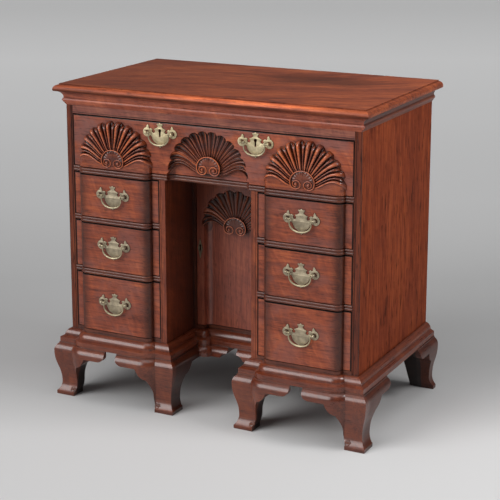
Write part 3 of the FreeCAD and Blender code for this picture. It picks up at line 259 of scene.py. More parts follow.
def aged_brass(name, bright, dull):
    """Cast brass, rubbed bright on its edges and dulled green-brown on its flats."""
    material, shader, place = new_finish(name)
    tarnish = place.noise(95.0, 4.0, 0.6)
    blotch = place.noise(38.0, 3.0, 0.55)
    # darker in hollows, with grime and painted shade
    open_air = grime_and_shade(place, 0.004, 1.0)
    rubbed = (tarnish * 0.5 + blotch * 0.5).within(0.35, 0.68)
    feed(shader["Base Color"], rubbed.between(dull, bright).dim(0.25 + open_air * 0.75))
    feed(shader["Metallic"], 0.55 + rubbed * 0.3)
    feed(shader["Roughness"], 0.42 - rubbed * 0.1 + tarnish * 0.12)
    feed(shader["Normal"], tarnish.bump(0.2, 0.0004))
    return material


def dark_iron(name):
    """Forged iron with a little rust."""
    material, shader, place = new_finish(name)
    rust = place.noise(130.0, 4.0, 0.6)
    feed(shader["Base Color"], rust.within(0.4, 0.7).between((0.035, 0.03, 0.028), (0.09, 0.055, 0.04)))
    feed(shader["Metallic"], 0.75)
    feed(shader["Roughness"], 0.45 + rust * 0.3)
    feed(shader["Normal"], rust.bump(0.3, 0.0005))
    return material


def top_swirl(x, y):
    """Slanting figure of the top, curling round a knot near its right rear corner."""
    knot = (((x - 0.17) * 2.2) ** 2 + ((y - 0.12) * 3.4) ** 2) ** 0.5
    return (x * -0.35 + (1 - knot.within(0.0, 0.9)) * 0.09) * y.within(FRONT - 0.012, FRONT + 0.02)


def top_shade(x, y, z):
    """Dark round the knot, painted darker to the left and lighter to the right, with a painted highlight
    along the front edge, patchy like rubbed polish, and painted shadow under it.
    """
    knot = (((x - 0.16) * 2.7) ** 2 + ((y - 0.11 - x * 0.1) * 6.5) ** 2) ** 0.5
    knot = knot + (x.point(x, y, z).noise(7.0, 3.0) - 0.5) * 0.7
    # patches in the painted highlight, like rubbed polish
    rubbed = x.point(x * 4, y, 0.0).noise(1.0, 1.0, 0.4).within(0.2, 0.6)
    rubbed = rubbed * (1 - abs(x + 0.1).within(0.3, 0.5))
    moulded = y < FRONT - 0.0135
    # painted highlight on the upper part of the moulded edge, painted shadow on the part under it
    edge = moulded * z.within(0.8492, 0.8504)
    hollow = moulded * (1 - z.within(0.846, 0.849))
    # painted shading, darker to the left and lighter to the right
    ground = (0.42 + 0.58 * knot.within(0.0, 0.8)) * (0.84 + 0.3 * x.within(-0.45, 0.4))
    return ground * (1 + edge * (0.25 + rubbed * 1.1)) * (1 - hollow * 0.45)


def block_shade(x, y, z):
    """Painted shade where the blocked front turns back to the flat, and painted shadow in the gaps round
    the drawers' edges.
    """
    off = abs(abs(x) - PEDESTAL * MM)
    # painted shade where the blocks turn back to the flat
    flat = off.within(0.072, 0.102)
    turn = flat * (y < FRONT - 0.0004)
    # painted shadow on the drawers' edges, in the gaps beside them
    edge = off.within(0.1264, 0.1280) * (off < 0.13)
    for top in DRAWER_TOPS:
        edge = edge + (abs(z - top) < 0.0016)
    near = (y + BLOCK_DEPTH * MM * (1 - flat)) < FRONT + GAP_SHADOW_DEPTH
    return (1 - turn * 0.68) * (1 - edge.within(0.0, 1.0) * near * GAP_SHADOW_DARK)


def long_front_shade(x, y, z):
    """Painted shadow in the gaps round its edges, and a paler right half."""
    # painted shadow on its edges, in the gaps
    edge = abs(x).within(0.3998, 0.4012) + z.within(0.7780, 0.7790)
    near = y < FRONT + GAP_SHADOW_DEPTH
    return (1 - edge.within(0.0, 1.0) * near * GAP_SHADOW_DARK) * (1 + 0.25 * x.within(-0.1, 0.25))


def stile_shade(x, y, z):
    """Darker on the stile at the front, with lines beside its bead."""
    off = abs(x)
    lines = (abs(off - 0.4052) < 0.0007) + (abs(off - 0.4098) < 0.0006)
    lines = lines + (abs(off - 0.4226) < 0.0005)
    return 1 - (y < FRONT + 0.002) * (0.42 + lines * 0.5)


def stile_shine(x, y, z):
    """Polish on the stile alone."""
    return (y < FRONT + 0.002) * 0.6


def door_shade(x, y, z):
    """Painted shadow towards its head, under the blade over the kneehole."""
    return 1 - 0.35 * z.within(0.40, 0.58)


def kneehole_shade(x, y, z):
    """Painted shade, darker towards the back of the kneehole."""
    return 1 - 0.6 * y.within(FRONT + 0.02, FRONT + 0.14)


def rail_shade(x, y, z):
    """Painted shadow along its lower edge, over the gap under it, and dark in a line over that."""
    return (1 - 0.85 * (z < 0.7833)) * (1 - 0.6 * (abs(z - 0.7866) < 0.0012))


def cove_shade(x, y, z):
    """Darker on the ends of the desk, and painted shadow in the hollow under the top."""
    return (1 - 0.6 * (abs(x) > END) * (y > FRONT - 0.004)) * (1 - 0.35 * z.within(0.830, 0.840))


def base_shine(x, y, z):
    """Less polish on the ends of the desk than at its front."""
    return 0.5 - 0.42 * (abs(x) > END) * (y > FRONT - 0.01)


def foot_shade(x, y, z):
    """Painted shade: very dark on the hidden sides of the brackets, and less so on the ends and in the
    kneehole.
    """
    behind = y > FRONT - 0.02
    kneehole = abs(abs(x) - KNEEHOLE_SIDE) < KNEEHOLE_BAND + 0.001
    end = abs(x) > END - 0.001
    hidden = behind * (y < 0.262) * (1 - kneehole) * (1 - end)
    return (1 - hidden * 0.88) * (1 - behind * kneehole * 0.55) * (1 - behind * end * 0.3)


ORANGE, RUST, UMBER = (0.40, 0.098, 0.032), (0.215, 0.044, 0.017), (0.062, 0.013, 0.0075)


def toned(amount, red=1.0, blue=1.0):
    """The three wood colours, made lighter or darker, redder or greyer, and bluer."""
    return [(shade[0] * amount, shade[1] * amount / red, shade[2] * amount / red * blue)
            for shade in (ORANGE, RUST, UMBER)]


FINISHES = {
    "top": mahogany(
        "top_mahogany", "x", *toned(1.06, 0.94), streak=1.3, mottle=0.2, bloom=0.2, dirt_and_shade=0.5, gloss=0.42,
        polish=0.0, sheen=0.2, shade=top_shade, swirl=top_swirl),
    "side": mahogany(
        "side_mahogany", "z", *toned(1.06, 1.04), mottle=0.15, fleck=0.6, bloom=0.2, gloss=0.5, sheen=0.02,
        pore=0.62, shade=stile_shade, shine=stile_shine),
    "front": mahogany(
        "front_mahogany", "x", *toned(1.12, 1.0, 1.05), streak=0.8, mottle=0.7, dirt_and_shade=0.95, haze_and_sheen=0.5,
        shade=block_shade),
    "rail": mahogany(
        "rail_mahogany", "x", *toned(1.0, 0.68, 1.8), streak=0.7, bloom=0.5, shade=rail_shade),
    "blade": mahogany(
        "blade_mahogany", "x", *toned(0.5, 0.82, 1.35), streak=0.7, mottle=0.4, gloss=0.34, polish=0.12),
    "cove": mahogany(
        "cove_mahogany", "round", *toned(1.65, 0.86, 1.35), streak=0.7, gloss=0.4, shade=cove_shade),
    "moulding": mahogany(
        "moulding_mahogany", "round", *toned(0.66, 1.02), streak=0.6, bloom=0.4, gloss=0.3,
        shine=base_shine),
    "foot": mahogany(
        "foot_mahogany", "round", *toned(0.58), streak=0.6, bloom=0.4, gloss=0.32, shade=foot_shade,
        shine=base_shine),
    "foot_scroll": mahogany(
        "scroll_mahogany", "x", *toned(0.6, 0.96), gloss=0.3, polish=0.4),
    "carved": mahogany(
        "carved_mahogany", "x", *toned(1.02), dirt_and_shade=0.6, gloss=0.25, polish=0.25, haze_and_sheen=0.3, carved=True),
    "long_front": mahogany(
        "long_front_mahogany", "x", *toned(1.2, 0.96, 1.1), streak=0.8, mottle=0.7, haze_and_sheen=0.8,
        shade=long_front_shade, carved=True),
    "door": mahogany(
        "door_mahogany", "z", *toned(1.12, 0.84, 1.5), streak=0.5, mottle=0.25, polish=0.3,
        shade=door_shade, carved=True),
    "kneehole": mahogany(
        "kneehole_mahogany", "z", *toned(0.84), streak=0.7, fleck=0.5, shade=kneehole_shade),
    "plain": bare_wood("secondary_wood", (0.52, 0.32, 0.16), (0.30, 0.165, 0.075), "y"),
    "back": bare_wood("back_wood", (0.36, 0.155, 0.062), (0.16, 0.06, 0.024), "x"),
    "brass": aged_brass("aged_brass", (0.36, 0.30, 0.19), (0.13, 0.105, 0.07)),
    "dull_brass": aged_brass("dull_brass", (0.50, 0.42, 0.29), (0.25, 0.205, 0.14)),
    "bright_brass": aged_brass("bright_brass", (0.74, 0.63, 0.40), (0.42, 0.345, 0.20)),
    "rubbed_brass": aged_brass("rubbed_brass", (0.54, 0.47, 0.31), (0.30, 0.25, 0.155)),
    "iron": dark_iron("dark_iron"),
}


# the first of these with one of its words in a node's name is the node's finish
FINISH_WORDS = (
    ("brass", ("hinges", "escutcheon", "pull", "bail")),
    ("iron", ("lock",)),
    ("back", ("back_boards",)),
    ("plain", ("dust_board", "drawer_runners", "cupboard_shelf", "_box")),
    ("top", ("top_board",)),
    ("side", ("left_side", "right_side")),
    ("kneehole", ("partition", "cupboard_door", "door_jambs")),
    ("foot", ("foot",)),
    ("cove", ("top_moulding",)),
    ("moulding", ("moulding", "skirt")),
    ("rail", ("top_rails",)),
    ("blade", ("blade", "bottom_boards")),
    ("carved", ("shell",)),
    ("front", ("drawer_front",)),
)


def finish_of(name):
    return next(finish for finish, words in FINISH_WORDS if any(word in name for word in words))


for name, piece in nodes.items():
    piece.data.materials.clear()
    piece.data.materials.append(FINISHES[finish_of(name)])


# Ways of making a piece

# edges that turn less than this are smoothed
SMOOTH_ANGLE = math.radians(38)
# wear of plain wood, of rubbed knobs and of scrolls, with a painted highlight on the knobs and scrolls
PLAIN, KNOB, SCROLL = 0.5, 0.75, 0.86


def only(*pieces):
    """Select these pieces alone; the first is the one worked on."""
    bpy.ops.object.select_all(action="DESELECT")
    for piece in pieces:
        piece.select_set(True)
    bpy.context.view_layer.objects.active = pieces[0]


def set_wear_and_shading(piece, wear):
    """How rubbed and how lit each point is painted: 0 in the grime and painted shade of a groove, 0.5 on
    plain wood, 1 on a rubbed crest with its painted highlight.
    """
    mark = piece.data.attributes.new("wear", "FLOAT", "POINT")
    mark.data.foreach_set("value", np.broadcast_to(wear, len(piece.data.vertices)).astype(np.float32))


def shaped_grid(name, columns, rows, place):
    """A grid whose points go to place(u, v): three places in millimetres, then the wear and painted
    shading.
    """
    bpy.ops.object.select_all(action="DESELECT")
    bpy.ops.mesh.primitive_grid_add(x_subdivisions=columns, y_subdivisions=rows, size=1)
    piece = bpy.context.object
    piece.name = name
    flat = np.empty(len(piece.data.vertices) * 3)
    piece.data.vertices.foreach_get("co", flat)
    *spot, wear = place(flat[0::3] + 0.5, flat[1::3] + 0.5)
    moved = np.stack(np.broadcast_arrays(*spot), axis=1) * MM
    piece.data.vertices.foreach_set("co", moved.ravel())
    set_wear_and_shading(piece, wear)
    return piece


def close_to(piece, level):
    """Give a shaped grid a flat far face at y = level and walls round its rim."""
    only(piece)
    bpy.ops.object.mode_set(mode="EDIT")
    bpy.ops.mesh.select_all(action="SELECT")
    bpy.ops.mesh.extrude_region_move()
    bpy.ops.transform.resize(value=(1, 0, 1), center_override=(0, level * MM, 0))
    bpy.ops.mesh.select_all(action="SELECT")
    bpy.ops.mesh.remove_doubles(threshold=1e-6)
    bpy.ops.mesh.normals_make_consistent(inside=False)
    bpy.ops.object.mode_set(mode="OBJECT")
    return piece


def join(name, *pieces):
    """One piece of several."""
    only(*pieces)
    bpy.ops.object.join()
    joined = bpy.context.object
    joined.name = name
    joined.data.name = name
    return joined


def settle(piece, finish, body, slot, *replaced):
    """Smooth a finished piece, give it its finish and tie it to the body that it moves with."""
    only(piece)
    bpy.ops.object.shade_smooth_by_angle(angle=SMOOTH_ANGLE)
    piece.data.materials.clear()
    piece.data.materials.append(FINISHES[finish])
    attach(piece, body)
    if replaced:
        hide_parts(*replaced)


def cut_out(piece, *cutters):
    """Take the cutters out of a piece, and away."""
    for cutter in cutters:
        only(piece)
        saw = piece.modifiers.new("cut", "BOOLEAN")
        saw.operation = "DIFFERENCE"
        saw.solver = "EXACT"
        saw.object = cutter
        bpy.ops.object.modifier_apply(modifier="cut")
        bpy.data.objects.remove(cutter)


def box_piece(name, low, high, edge):
    """A block between two corners, in millimetres, with its edges eased."""
    bpy.ops.object.select_all(action="DESELECT")
    middle = [(a + b) / 2 * MM for a, b in zip(low, high)]
    size = [(b - a) * MM for a, b in zip(low, high)]
    bpy.ops.mesh.primitive_cube_add(size=1, location=middle, scale=size)
    piece = bpy.context.object
    piece.name = name
    bpy.ops.object.transform_apply(location=True, rotation=True, scale=True)
    bpy.ops.object.mode_set(mode="EDIT")
    bpy.ops.mesh.select_all(action="SELECT")
    bpy.ops.mesh.bevel(offset=edge * MM, segments=2, affect="EDGES")
    bpy.ops.object.mode_set(mode="OBJECT")
    set_wear_and_shading(piece, PLAIN)
    return piece


def bar(centre, radius, length, turn, sides):
    """A round bar, turned from upright."""
    bpy.ops.object.select_all(action="DESELECT")
    bpy.ops.mesh.primitive_cylinder_add(vertices=sides, radius=radius * MM, depth=length * MM,
                                        location=[place * MM for place in centre], rotation=turn)
    piece = bpy.context.object
    bpy.ops.object.transform_apply(location=True, rotation=True, scale=True)
    set_wear_and_shading(piece, PLAIN)
    return piece


def rod(x, z, radius, start, end, sides=24):
    """A round bar along y."""
    return bar((x, (start + end) / 2, z), radius, end - start, (math.pi / 2, 0, 0), sides)


def ball(x, y, z, radius):
    """A knob."""
    bpy.ops.object.select_all(action="DESELECT")
    bpy.ops.mesh.primitive_uv_sphere_add(segments=24, ring_count=14, radius=radius * MM,
                                         location=(x * MM, y * MM, z * MM))
    piece = bpy.context.object
    bpy.ops.object.transform_apply(location=True, rotation=True, scale=True)
    set_wear_and_shading(piece, KNOB)
    return piece


def wire(name, points):
    """A round wire through points (x, y, z, radius), in millimetres."""
    route = bpy.data.curves.new(name, "CURVE")
    route.dimensions = "3D"
    route.bevel_depth = MM
    route.bevel_resolution = 4
    route.use_fill_caps = True
    line = route.splines.new("POLY")
    line.points.add(len(points) - 1)
    for point, (x, y, z, radius) in zip(line.points, points):
        point.co = (x * MM, y * MM, z * MM, 1)
        point.radius = radius
    return to_mesh(name, route)


def to_mesh(name, route):
    """A curve made into a piece."""
    drawn = bpy.data.objects.new(name, route)
    bpy.context.scene.collection.objects.link(drawn)
    only(drawn)
    bpy.ops.object.convert(target="MESH")
    piece = bpy.context.object
    bpy.ops.object.mode_set(mode="EDIT")
    bpy.ops.mesh.select_all(action="SELECT")
    bpy.ops.mesh.remove_doubles(threshold=1e-6)
    bpy.ops.mesh.normals_make_consistent(inside=False)
    bpy.ops.object.mode_set(mode="OBJECT")
    set_wear_and_shading(piece, SCROLL)
    return piece


# Carved shells: rays spread from a scrolled boss and curl over at their ends

# height of a shell's centre, the face that it is carved on, its size, how far its top and side rays reach,
# and their number
Shell = namedtuple("Shell", "level face scale top side rays")
RAISED = Shell(661, FRONT_MM, 1.0, 112, 112, 12)
SUNK = Shell(661, FRONT_MM, 1.0, 108, 117, 12)
ON_DOOR = Shell(481, FRONT_MM + KNEEHOLE_DEPTH, 0.86, 121, 111, 10)
RAY_COLUMNS, RAY_ROWS = 384, 48
# where rays start, and the turn from the middle of a shell to its lowest ray, in degrees
RAY_START, SPREAD = 27.0, 95
# where a ray's rounded rib ends and where the bead beside it starts, as shares of the way to the next ray
RIB, LIP = 0.22, 0.36
# half thickness of the sharp rim between fingers of a sunk shell, and its place
RIM_HALF, RIM = 0.05, 0.29
# wear and painted shading across a ray, from its middle to halfway to the next: bright crests and dark
# grooves
RAISED_WEAR_AND_SHADING = ((0, 1.0), (0.08, 0.9), (0.16, 0.5), (RIB, 0.12), (LIP, 0.08), (0.41, 0.3), (0.46, 0.6),
               (0.5, 0.65))
SUNK_WEAR_AND_SHADING = ((0, 0.34), (0.18, 0.2), (0.235, 0.06), (0.27, 0.95), (0.31, 0.95), (0.345, 0.06), (0.4, 0.2),
             (0.5, 0.26))
BOSS_RADIUS, BOSS_SQUASH, VOLUTE_RADIUS, PETALS = 33.0, 0.86, 15.0, 20
# where the boss's arch turns into its volutes, and how far those wind
ARCH_END, VOLUTE_TURN = math.radians(112), math.radians(440)
# cutters start this far in front of the face
CUTTER_LEAD = 20


def ray_point(shell, q, s):
    """Where a shell's ray numbered q is, s of its way out; then its length and its width there."""
    turn = (q - shell.rays / 2) / (shell.rays / 2)
    lowest = 115 - 107.3 * s + 89.3 * s ** 2
    angle = np.radians(turn * SPREAD + turn ** 3 * (lowest - SPREAD))
    start = RAY_START * shell.scale
    reach = (shell.top + (shell.side - shell.top) * np.abs(turn) ** 1.5) * shell.scale
    out = start + (reach - start) * s
    width = out * math.radians(2 * SPREAD / shell.rays)
    return out * np.sin(angle), out * np.cos(angle), reach - start, width


def rib_and_flute(off):
    """Section across one ray, off from its middle: a rib, a groove and half of a lower bead."""
    rib = 0.25 * np.sqrt(np.clip(1 - (off / RIB) ** 2, 0, 1))
    groove = -0.14 + 0.07 * np.clip((off - RIB) / (LIP - RIB), 0, 1)
    bead = -0.07 + 0.17 * np.sqrt(np.clip(1 - ((0.5 - off) / (0.5 - LIP)) ** 2, 0, 1))
    return np.where(off < RIB, rib, np.where(off < LIP, groove, bead))


def raised_fan(middle):
    """Standing rays with hollows between, rounded over at their ends and down the sides of the block."""

    def place(u, v):
        q = 0.3 + (RAISED.rays - 0.6) * u
        off = np.abs(q - np.floor(q) - 0.5)
        scallop = 1 - 0.085 * np.clip((off - 0.16) / 0.3, 0, 1) ** 1.5
        x, z, length, width = ray_point(RAISED, q, v * scallop)
        wave = rib_and_flute(off)
        spoon = np.clip((v - 0.74) / 0.16, 0, 1)
        wave = np.where(off > LIP, wave + (0.05 - wave) * spoon, wave)
        body = 18.5 - 0.25 * width - 5 * np.clip(1 - v / 0.22, 0, 1)
        nose = (13 + 5 * (off < RIB)) / length
        over = np.clip((v - (1 - nose)) / nose, 0, 1)
        height = (body + wave * width) * np.sqrt(np.clip(1 - over ** 2, 0, 1))
        flank = np.clip((np.abs(x) - (BLOCK_HALF - BLOCK_DEPTH)) / (BLOCK_DEPTH + 3), 0, 1)
        height = height * np.sqrt(1 - flank ** 2)
        # painted shade on the ends where the rays curl over
        wear = np.interp(off, *zip(*RAISED_WEAR_AND_SHADING))
        return middle + x, FRONT_MM - height, RAISED.level + z, wear - (wear - 0.3) * over ** 2 * 0.6

    return close_to(shaped_grid("fan", RAY_COLUMNS, RAY_ROWS, place), FRONT_MM + 1)


def lower_ray(shell, across, edge):
    """Height of the edge of the lowest ray, at each place across."""
    s = np.linspace(0, 1, 80)
    x, z = ray_point(shell, np.full_like(s, edge), s)[:2]
    return np.interp(across, np.abs(x), z)


def raised_foot(middle):
    """Plain part of the block under the lowest rays."""

    def place(u, v):
        x = (2 * u - 1) * (BLOCK_HALF - 0.2)
        high = RAISED.level + lower_ray(RAISED, np.abs(x), 0.42)
        flank = np.clip((np.abs(x) - (BLOCK_HALF - BLOCK_DEPTH)) / BLOCK_DEPTH, 0, 1)
        height = (BLOCK_DEPTH - 2.5) * np.sqrt(1 - flank ** 2)
        # painted shadow under the lowest rays, darker towards the top
        wear = 0.62 - 0.4 * np.clip((v - 0.75) / 0.25, 0, 1)
        up = (np.maximum(high, LONG_FLOOR) - LONG_FLOOR) * v
        return middle + x, FRONT_MM - height, LONG_FLOOR + up, wear

    return close_to(shaped_grid("foot_of_shell", 80, 12, place), FRONT_MM + 1)


def boss(middle, level, lift, scale, rubbed):
    """Arched band that ends in two volutes, on a ground cut with petals, standing out to y = lift."""

    def ground(u, v):
        turn = 2 * np.pi * u
        out = (BOSS_RADIUS - 0.5) * v
        ring = np.clip(np.sin((v - 0.6) / 0.34 * np.pi), 0, 1) * (v > 0.6) * (v < 0.94)
        petals = ring * np.cos(PETALS * turn)
        height = 2.0 * (1 - v ** 6) + 0.5 * petals * (np.cos(turn) > 0.1)
        x, z = out * np.sin(turn), np.maximum(out * np.cos(turn), -BOSS_RADIUS * 0.5)
        # the ground darker than plain wood, and darkest at its rim in a painted shade
        wear = (rubbed + 0.06 * petals) * (1 - np.clip((v - 0.86) / 0.08, 0, 1))
        return middle + x * scale, lift - height * scale, level + z * scale * BOSS_SQUASH, wear

    disc = close_to(shaped_grid("boss_ground", 160, 30, ground), lift + 12 * scale)
    inner = BOSS_RADIUS - VOLUTE_RADIUS
    eye = (inner * math.sin(ARCH_END), inner * math.cos(ARCH_END))
    halves, eyes = [], []
    for side in (-1, 1):
        half = [(side * BOSS_RADIUS * math.sin(turn), BOSS_RADIUS * math.cos(turn), 1.5)
                for turn in np.linspace(0, ARCH_END, 28)]
        for step in np.linspace(0, 1, 40)[1:]:
            turn = ARCH_END + step * VOLUTE_TURN
            radius = VOLUTE_RADIUS * (1 - 0.52 * step)
            half.append((side * (eye[0] + radius * math.sin(turn)), eye[1] + radius * math.cos(turn),
                         1.5 - 0.3 * step))
        halves.append(half)
        eyes.append(ball(middle + side * eye[0] * scale, lift - 2.6 * scale,
                         level + eye[1] * scale * BOSS_SQUASH, 4.4 * scale))
    points = [(middle + x * scale, lift - 3.0 * scale, level + z * scale * BOSS_SQUASH, radius * scale)
              for x, z, radius in [*halves[0][:0:-1], *halves[1]]]
    return join("boss", disc, wire("scroll", points), *eyes)


def hollow_fan(shell):
    """Cutter for a sunk shell: wide and narrow fingers by turns, with a sharp rim between each two."""

    def place(u, v):
        q = shell.rays * u
        off = np.abs(q - np.floor(q) - 0.5)
        scallop = 1 - 0.08 * np.clip((off - 0.12) / 0.38, 0, 1) ** 2
        x, z, length, width = ray_point(shell, q, v * scallop)
        finger = 0.22 * np.sqrt(np.clip(1 - (off / 0.25) ** 2, 0, 1))
        narrow = 0.12 * np.sqrt(np.clip(1 - ((0.5 - off) / 0.17) ** 2, 0, 1))
        rim = -0.07 * np.sqrt(np.clip(1 - ((off - RIM) / RIM_HALF) ** 2, 0, 1))
        wave = finger + narrow + rim
        body = (11.5 - 5.5 * v ** 0.8) * shell.scale
        nose = 12 * shell.scale / length
        over = np.clip((v - (1 - nose)) / nose, 0, 1)
        depth = (body + wave * width) * np.sqrt(np.clip(1 - over ** 2, 0, 1))
        # painted highlight on the sharp rims, with the fingers and grooves darker from grime and painted
        # shade
        wear = np.interp(off, *zip(*SUNK_WEAR_AND_SHADING))
        # painted shadow in the ends of the fingers, under the curled-over rim
        wear = wear * (1 - 0.75 * np.clip((v - 0.68) / 0.25, 0, 1) * (np.abs(off - RIM) > RIM_HALF))
        # painted highlight along the edges of the lowest rays
        wear = np.where(np.abs(q - shell.rays / 2) > shell.rays / 2 - 0.14, 0.95, wear)
        return x, shell.face + np.maximum(depth, 0), shell.level + z, wear

    return close_to(shaped_grid("hollow", RAY_COLUMNS, RAY_ROWS, place), shell.face - CUTTER_LEAD)


def hollow_panel(shell, half, low):
    """Cutter for the sunk panel under a sunk shell."""

    def place(u, v):
        x = (2 * u - 1) * half
        high = shell.level + lower_ray(shell, np.abs(x), 0.1)
        flank = np.clip((np.abs(x) - (half - BLOCK_DEPTH)) / BLOCK_DEPTH, 0, 1)
        depth = BLOCK_DEPTH * np.sqrt(1 - flank ** 2)
        # painted shadow along the top of the panel, under the lowest rays
        wear = 0.5 - 0.35 * np.clip((v - 0.93) / 0.07, 0, 1)
        return x, shell.face + depth, low + (high - low) * v, wear

    return close_to(shaped_grid("panel", 90, 40, place), shell.face - CUTTER_LEAD)


def plain_flats(piece, shell):
    """Plain wear outside the fingers of a sunk shell."""
    flat = np.empty(len(piece.data.vertices) * 3)
    piece.data.vertices.foreach_get("co", flat)
    y, z = flat[1::3] / MM - shell.face, flat[2::3] / MM
    mark = piece.data.attributes["wear"].data
    wear = np.empty(len(mark))
    mark.foreach_get("value", wear)
    carved = (y > 0.03) & (y < BLOCK_DEPTH - 0.05) & (z > shell.level - 20)
    mark.foreach_set("value", np.where(carved, wear, PLAIN).astype(np.float32))


def keyhole(place, level, face):
    """Cutters for a keyhole: a round over a slot."""
    slot = (place - 2.2, face - 10, level - 14), (place + 2.2, face + 10, level)
    return rod(place, level, 4.0, face - 10, face + 10), box_piece("slot", *slot, 0.05)


for side, name in ((-1, "left"), (1, "right")):
    middle = side * PEDESTAL
    carving = join(name + "_shell_carving", raised_fan(middle), raised_foot(middle),
                   boss(middle, RAISED.level + 8, RAISED.face - 14.5, 1.0, 0.28))
    settle(carving, "carved", "long_drawer", "mahogany", name + "_shell")

board = box_piece("long_front_carving", (-LONG_HALF, FRONT_MM, LONG_FLOOR),
                  (LONG_HALF, FRONT_MM + LONG_FRONT, LONG_TOP), 0.7)
cut_out(board, hollow_fan(SUNK), hollow_panel(SUNK, 119, 632),
        rod(0, SUNK.level, 28.5, SUNK.face - 10, SUNK.face + 11),
        *keyhole(-LONG_PULL, LONG_PULL_LEVEL + KEYHOLE_UP, SUNK.face),
        *keyhole(LONG_PULL, LONG_PULL_LEVEL + KEYHOLE_UP, SUNK.face))
plain_flats(board, SUNK)
board = join("long_front_carving", board, boss(0, SUNK.level + 12, SUNK.face + 6.5, 1.0, 0.26))
settle(board, "long_front", "long_drawer", "mahogany", "long_drawer_front")

door = box_piece("door_carving", (-113.2, ON_DOOR.face, 197.8), (111.4, ON_DOOR.face + 36, 626.2), 0.7)
cut_out(door, hollow_fan(ON_DOOR), hollow_panel(ON_DOOR, 91.2, 182),
        rod(0, ON_DOOR.level, 24.5, ON_DOOR.face - 10, ON_DOOR.face + 10),
        *keyhole(-102.2, 422, ON_DOOR.face))
plain_flats(door, ON_DOOR)
door = join("door_carving", door, boss(0, ON_DOOR.level, ON_DOOR.face + 6.5, 0.98, 0.2))
settle(door, "door", "cupboard_door", "mahogany", "cupboard_door")


# Scrolls on the pads of the front feet

# height of a scroll's eye, and the feet that have one
SCROLL_LEVEL, SCROLL_PLACES = 16.5, (-409, -141, 141, 409)


def pad_face(z):
    """Front of a foot's pad at a height, in millimetres."""
    return FRONT_MM - (59.2 - math.sqrt(36.2 ** 2 - (35 - max(z, 9)) ** 2))


scrolls = []
for middle in SCROLL_PLACES:
    spiral = []
    for step in np.linspace(0, 1, 48):
        turn, radius = 10 * step, 7.8 - 5.2 * step
        z = SCROLL_LEVEL + radius * math.sin(turn)
        spiral.append((middle + radius * math.cos(turn), pad_face(z) - 0.5, z, 1.3))
    scrolls += [wire("spiral", spiral), ball(middle, pad_face(SCROLL_LEVEL) + 0.4, SCROLL_LEVEL, 2.6)]
settle(join("foot_scrolls", *scrolls), "foot_scroll", "case", "mahogany")


# Brass pulls: a pierced backplate, two posts with their nuts, and a bail that swells towards its middle

# posts to each side of a pull's middle, their stand before the plate, the plate's thickness, and its ears
POST, STAND, PLATE, EAR = 38.0, 7.0, 1.8, 12.0


def arc(x, z, radius, start, end, steps=12):
    """Points round a centre, from one angle to another, in degrees."""
    return [(x + radius * math.cos(math.radians(turn)), z + radius * math.sin(math.radians(turn)))
            for turn in np.linspace(start, end, steps)]


# right half of a backplate's outline, from its crown to its tip
PLATE_HALF = [
    (0, 26), (1.8, 25.4), (3.0, 23.8), (4.8, 23.2), (7.6, 24.0), (9.2, 22.6), (8.0, 20.4), (6.2, 18.8),
    (5.6, 17.0), (6.6, 15.0), (9.2, 12.8), (12.4, 10.9), (15.6, 9.7), (17.8, 8.9),
    *arc(18.6, 3.4, 4.6, 118, 420), (23.6, 9.0), (26.0, 10.4), (28.6, 9.8), *arc(POST, 0, EAR, 134, 118, 3),
    (32.6, 14.6), (35.4, 20.0), (38.6, 17.0), *arc(POST, 0, EAR, 76, -140, 28), (26.4, -8.4), (24.2, -10.4),
    (23.2, -13.4), (21.6, -17.4), (19.0, -21.4), (15.6, -24.8), (11.4, -27.4), (7.6, -29.6), (5.8, -31.6),
    (4.4, -32.0), (2.6, -35.6), (0, -38.6),
]


def backplate(x, z, face, has_keyhole):
    """Cast plate with a raised edge, pierced beside the crown and in both ears."""
    route = bpy.data.curves.new("plate", "CURVE")
    route.dimensions = "2D"
    route.fill_mode = "BOTH"
    route.extrude = 0.5 * MM
    route.bevel_depth = 0.4 * MM
    route.bevel_resolution = 1
    route.offset = -0.4 * MM
    mirrored = [(-a, b) for a, b in PLATE_HALF[-2:0:-1]]
    outlines = [[*PLATE_HALF, *mirrored]]
    for side in (-1, 1):
        outlines.append(arc(side * POST, 0, 5.4, 0, 345, 24))
    if has_keyhole:
        outlines.append([*arc(0, KEYHOLE_UP, 4.3, -58, 238, 16), (-2.4, -10.4), (2.4, -10.4)])
    for outline in outlines:
        line = route.splines.new("POLY")
        line.use_cyclic_u = True
        line.points.add(len(outline) - 1)
        for point, (a, b) in zip(line.points, outline):
            point.co = ((x + a) * MM, (z + b) * MM, 0, 1)
    plate = to_mesh("plate", route)
    only(plate)
    plate.rotation_euler = (math.pi / 2, 0, 0)
    plate.location = (0, (face - PLATE / 2) * MM, 0)
    bpy.ops.object.transform_apply(location=True, rotation=True, scale=True)
    return plate


def posts(x, z, face, back):
    """Two posts, each a ball on a neck before the plate and a nut behind the drawer front."""
    made = []
    for side in (-1, 1):
        spot = x + side * POST
        tip = face - PLATE - STAND
        made += [ball(spot, tip, z, 4.2), rod(spot, z, 2.6, tip, back + 4),
                 rod(spot, z, 7.0, back, back + 4, 6)]
    return made


def bail_piece(name, x, z, face):
    """Wire handle hung between the posts."""
    y = face - PLATE - STAND
    half = [(29.0, 0.0), (29.4, -4.0), *arc(9.5, -9, 20.2, 8, -60, 14),
            *arc(0, 11, 42.6, -63, -88, 8), (0, -31.6)]
    path = [(-a, b) for a, b in half] + half[-2::-1]
    points = [(x + a, y, z + b, 1.5 + 1.0 * min(1.0, max(0.0, -b / 33.0)) ** 1.5) for a, b in path]
    pieces = [wire("bail", points)]
    for side in (-1, 1):
        pin = bar((x + side * 33.0, y, z), 1.7, 8.4, (0, math.pi / 2, 0), 16)
        pieces += [pin, ball(x + side * 29.0, y, z, 3.0)]
    return join(name, *pieces)


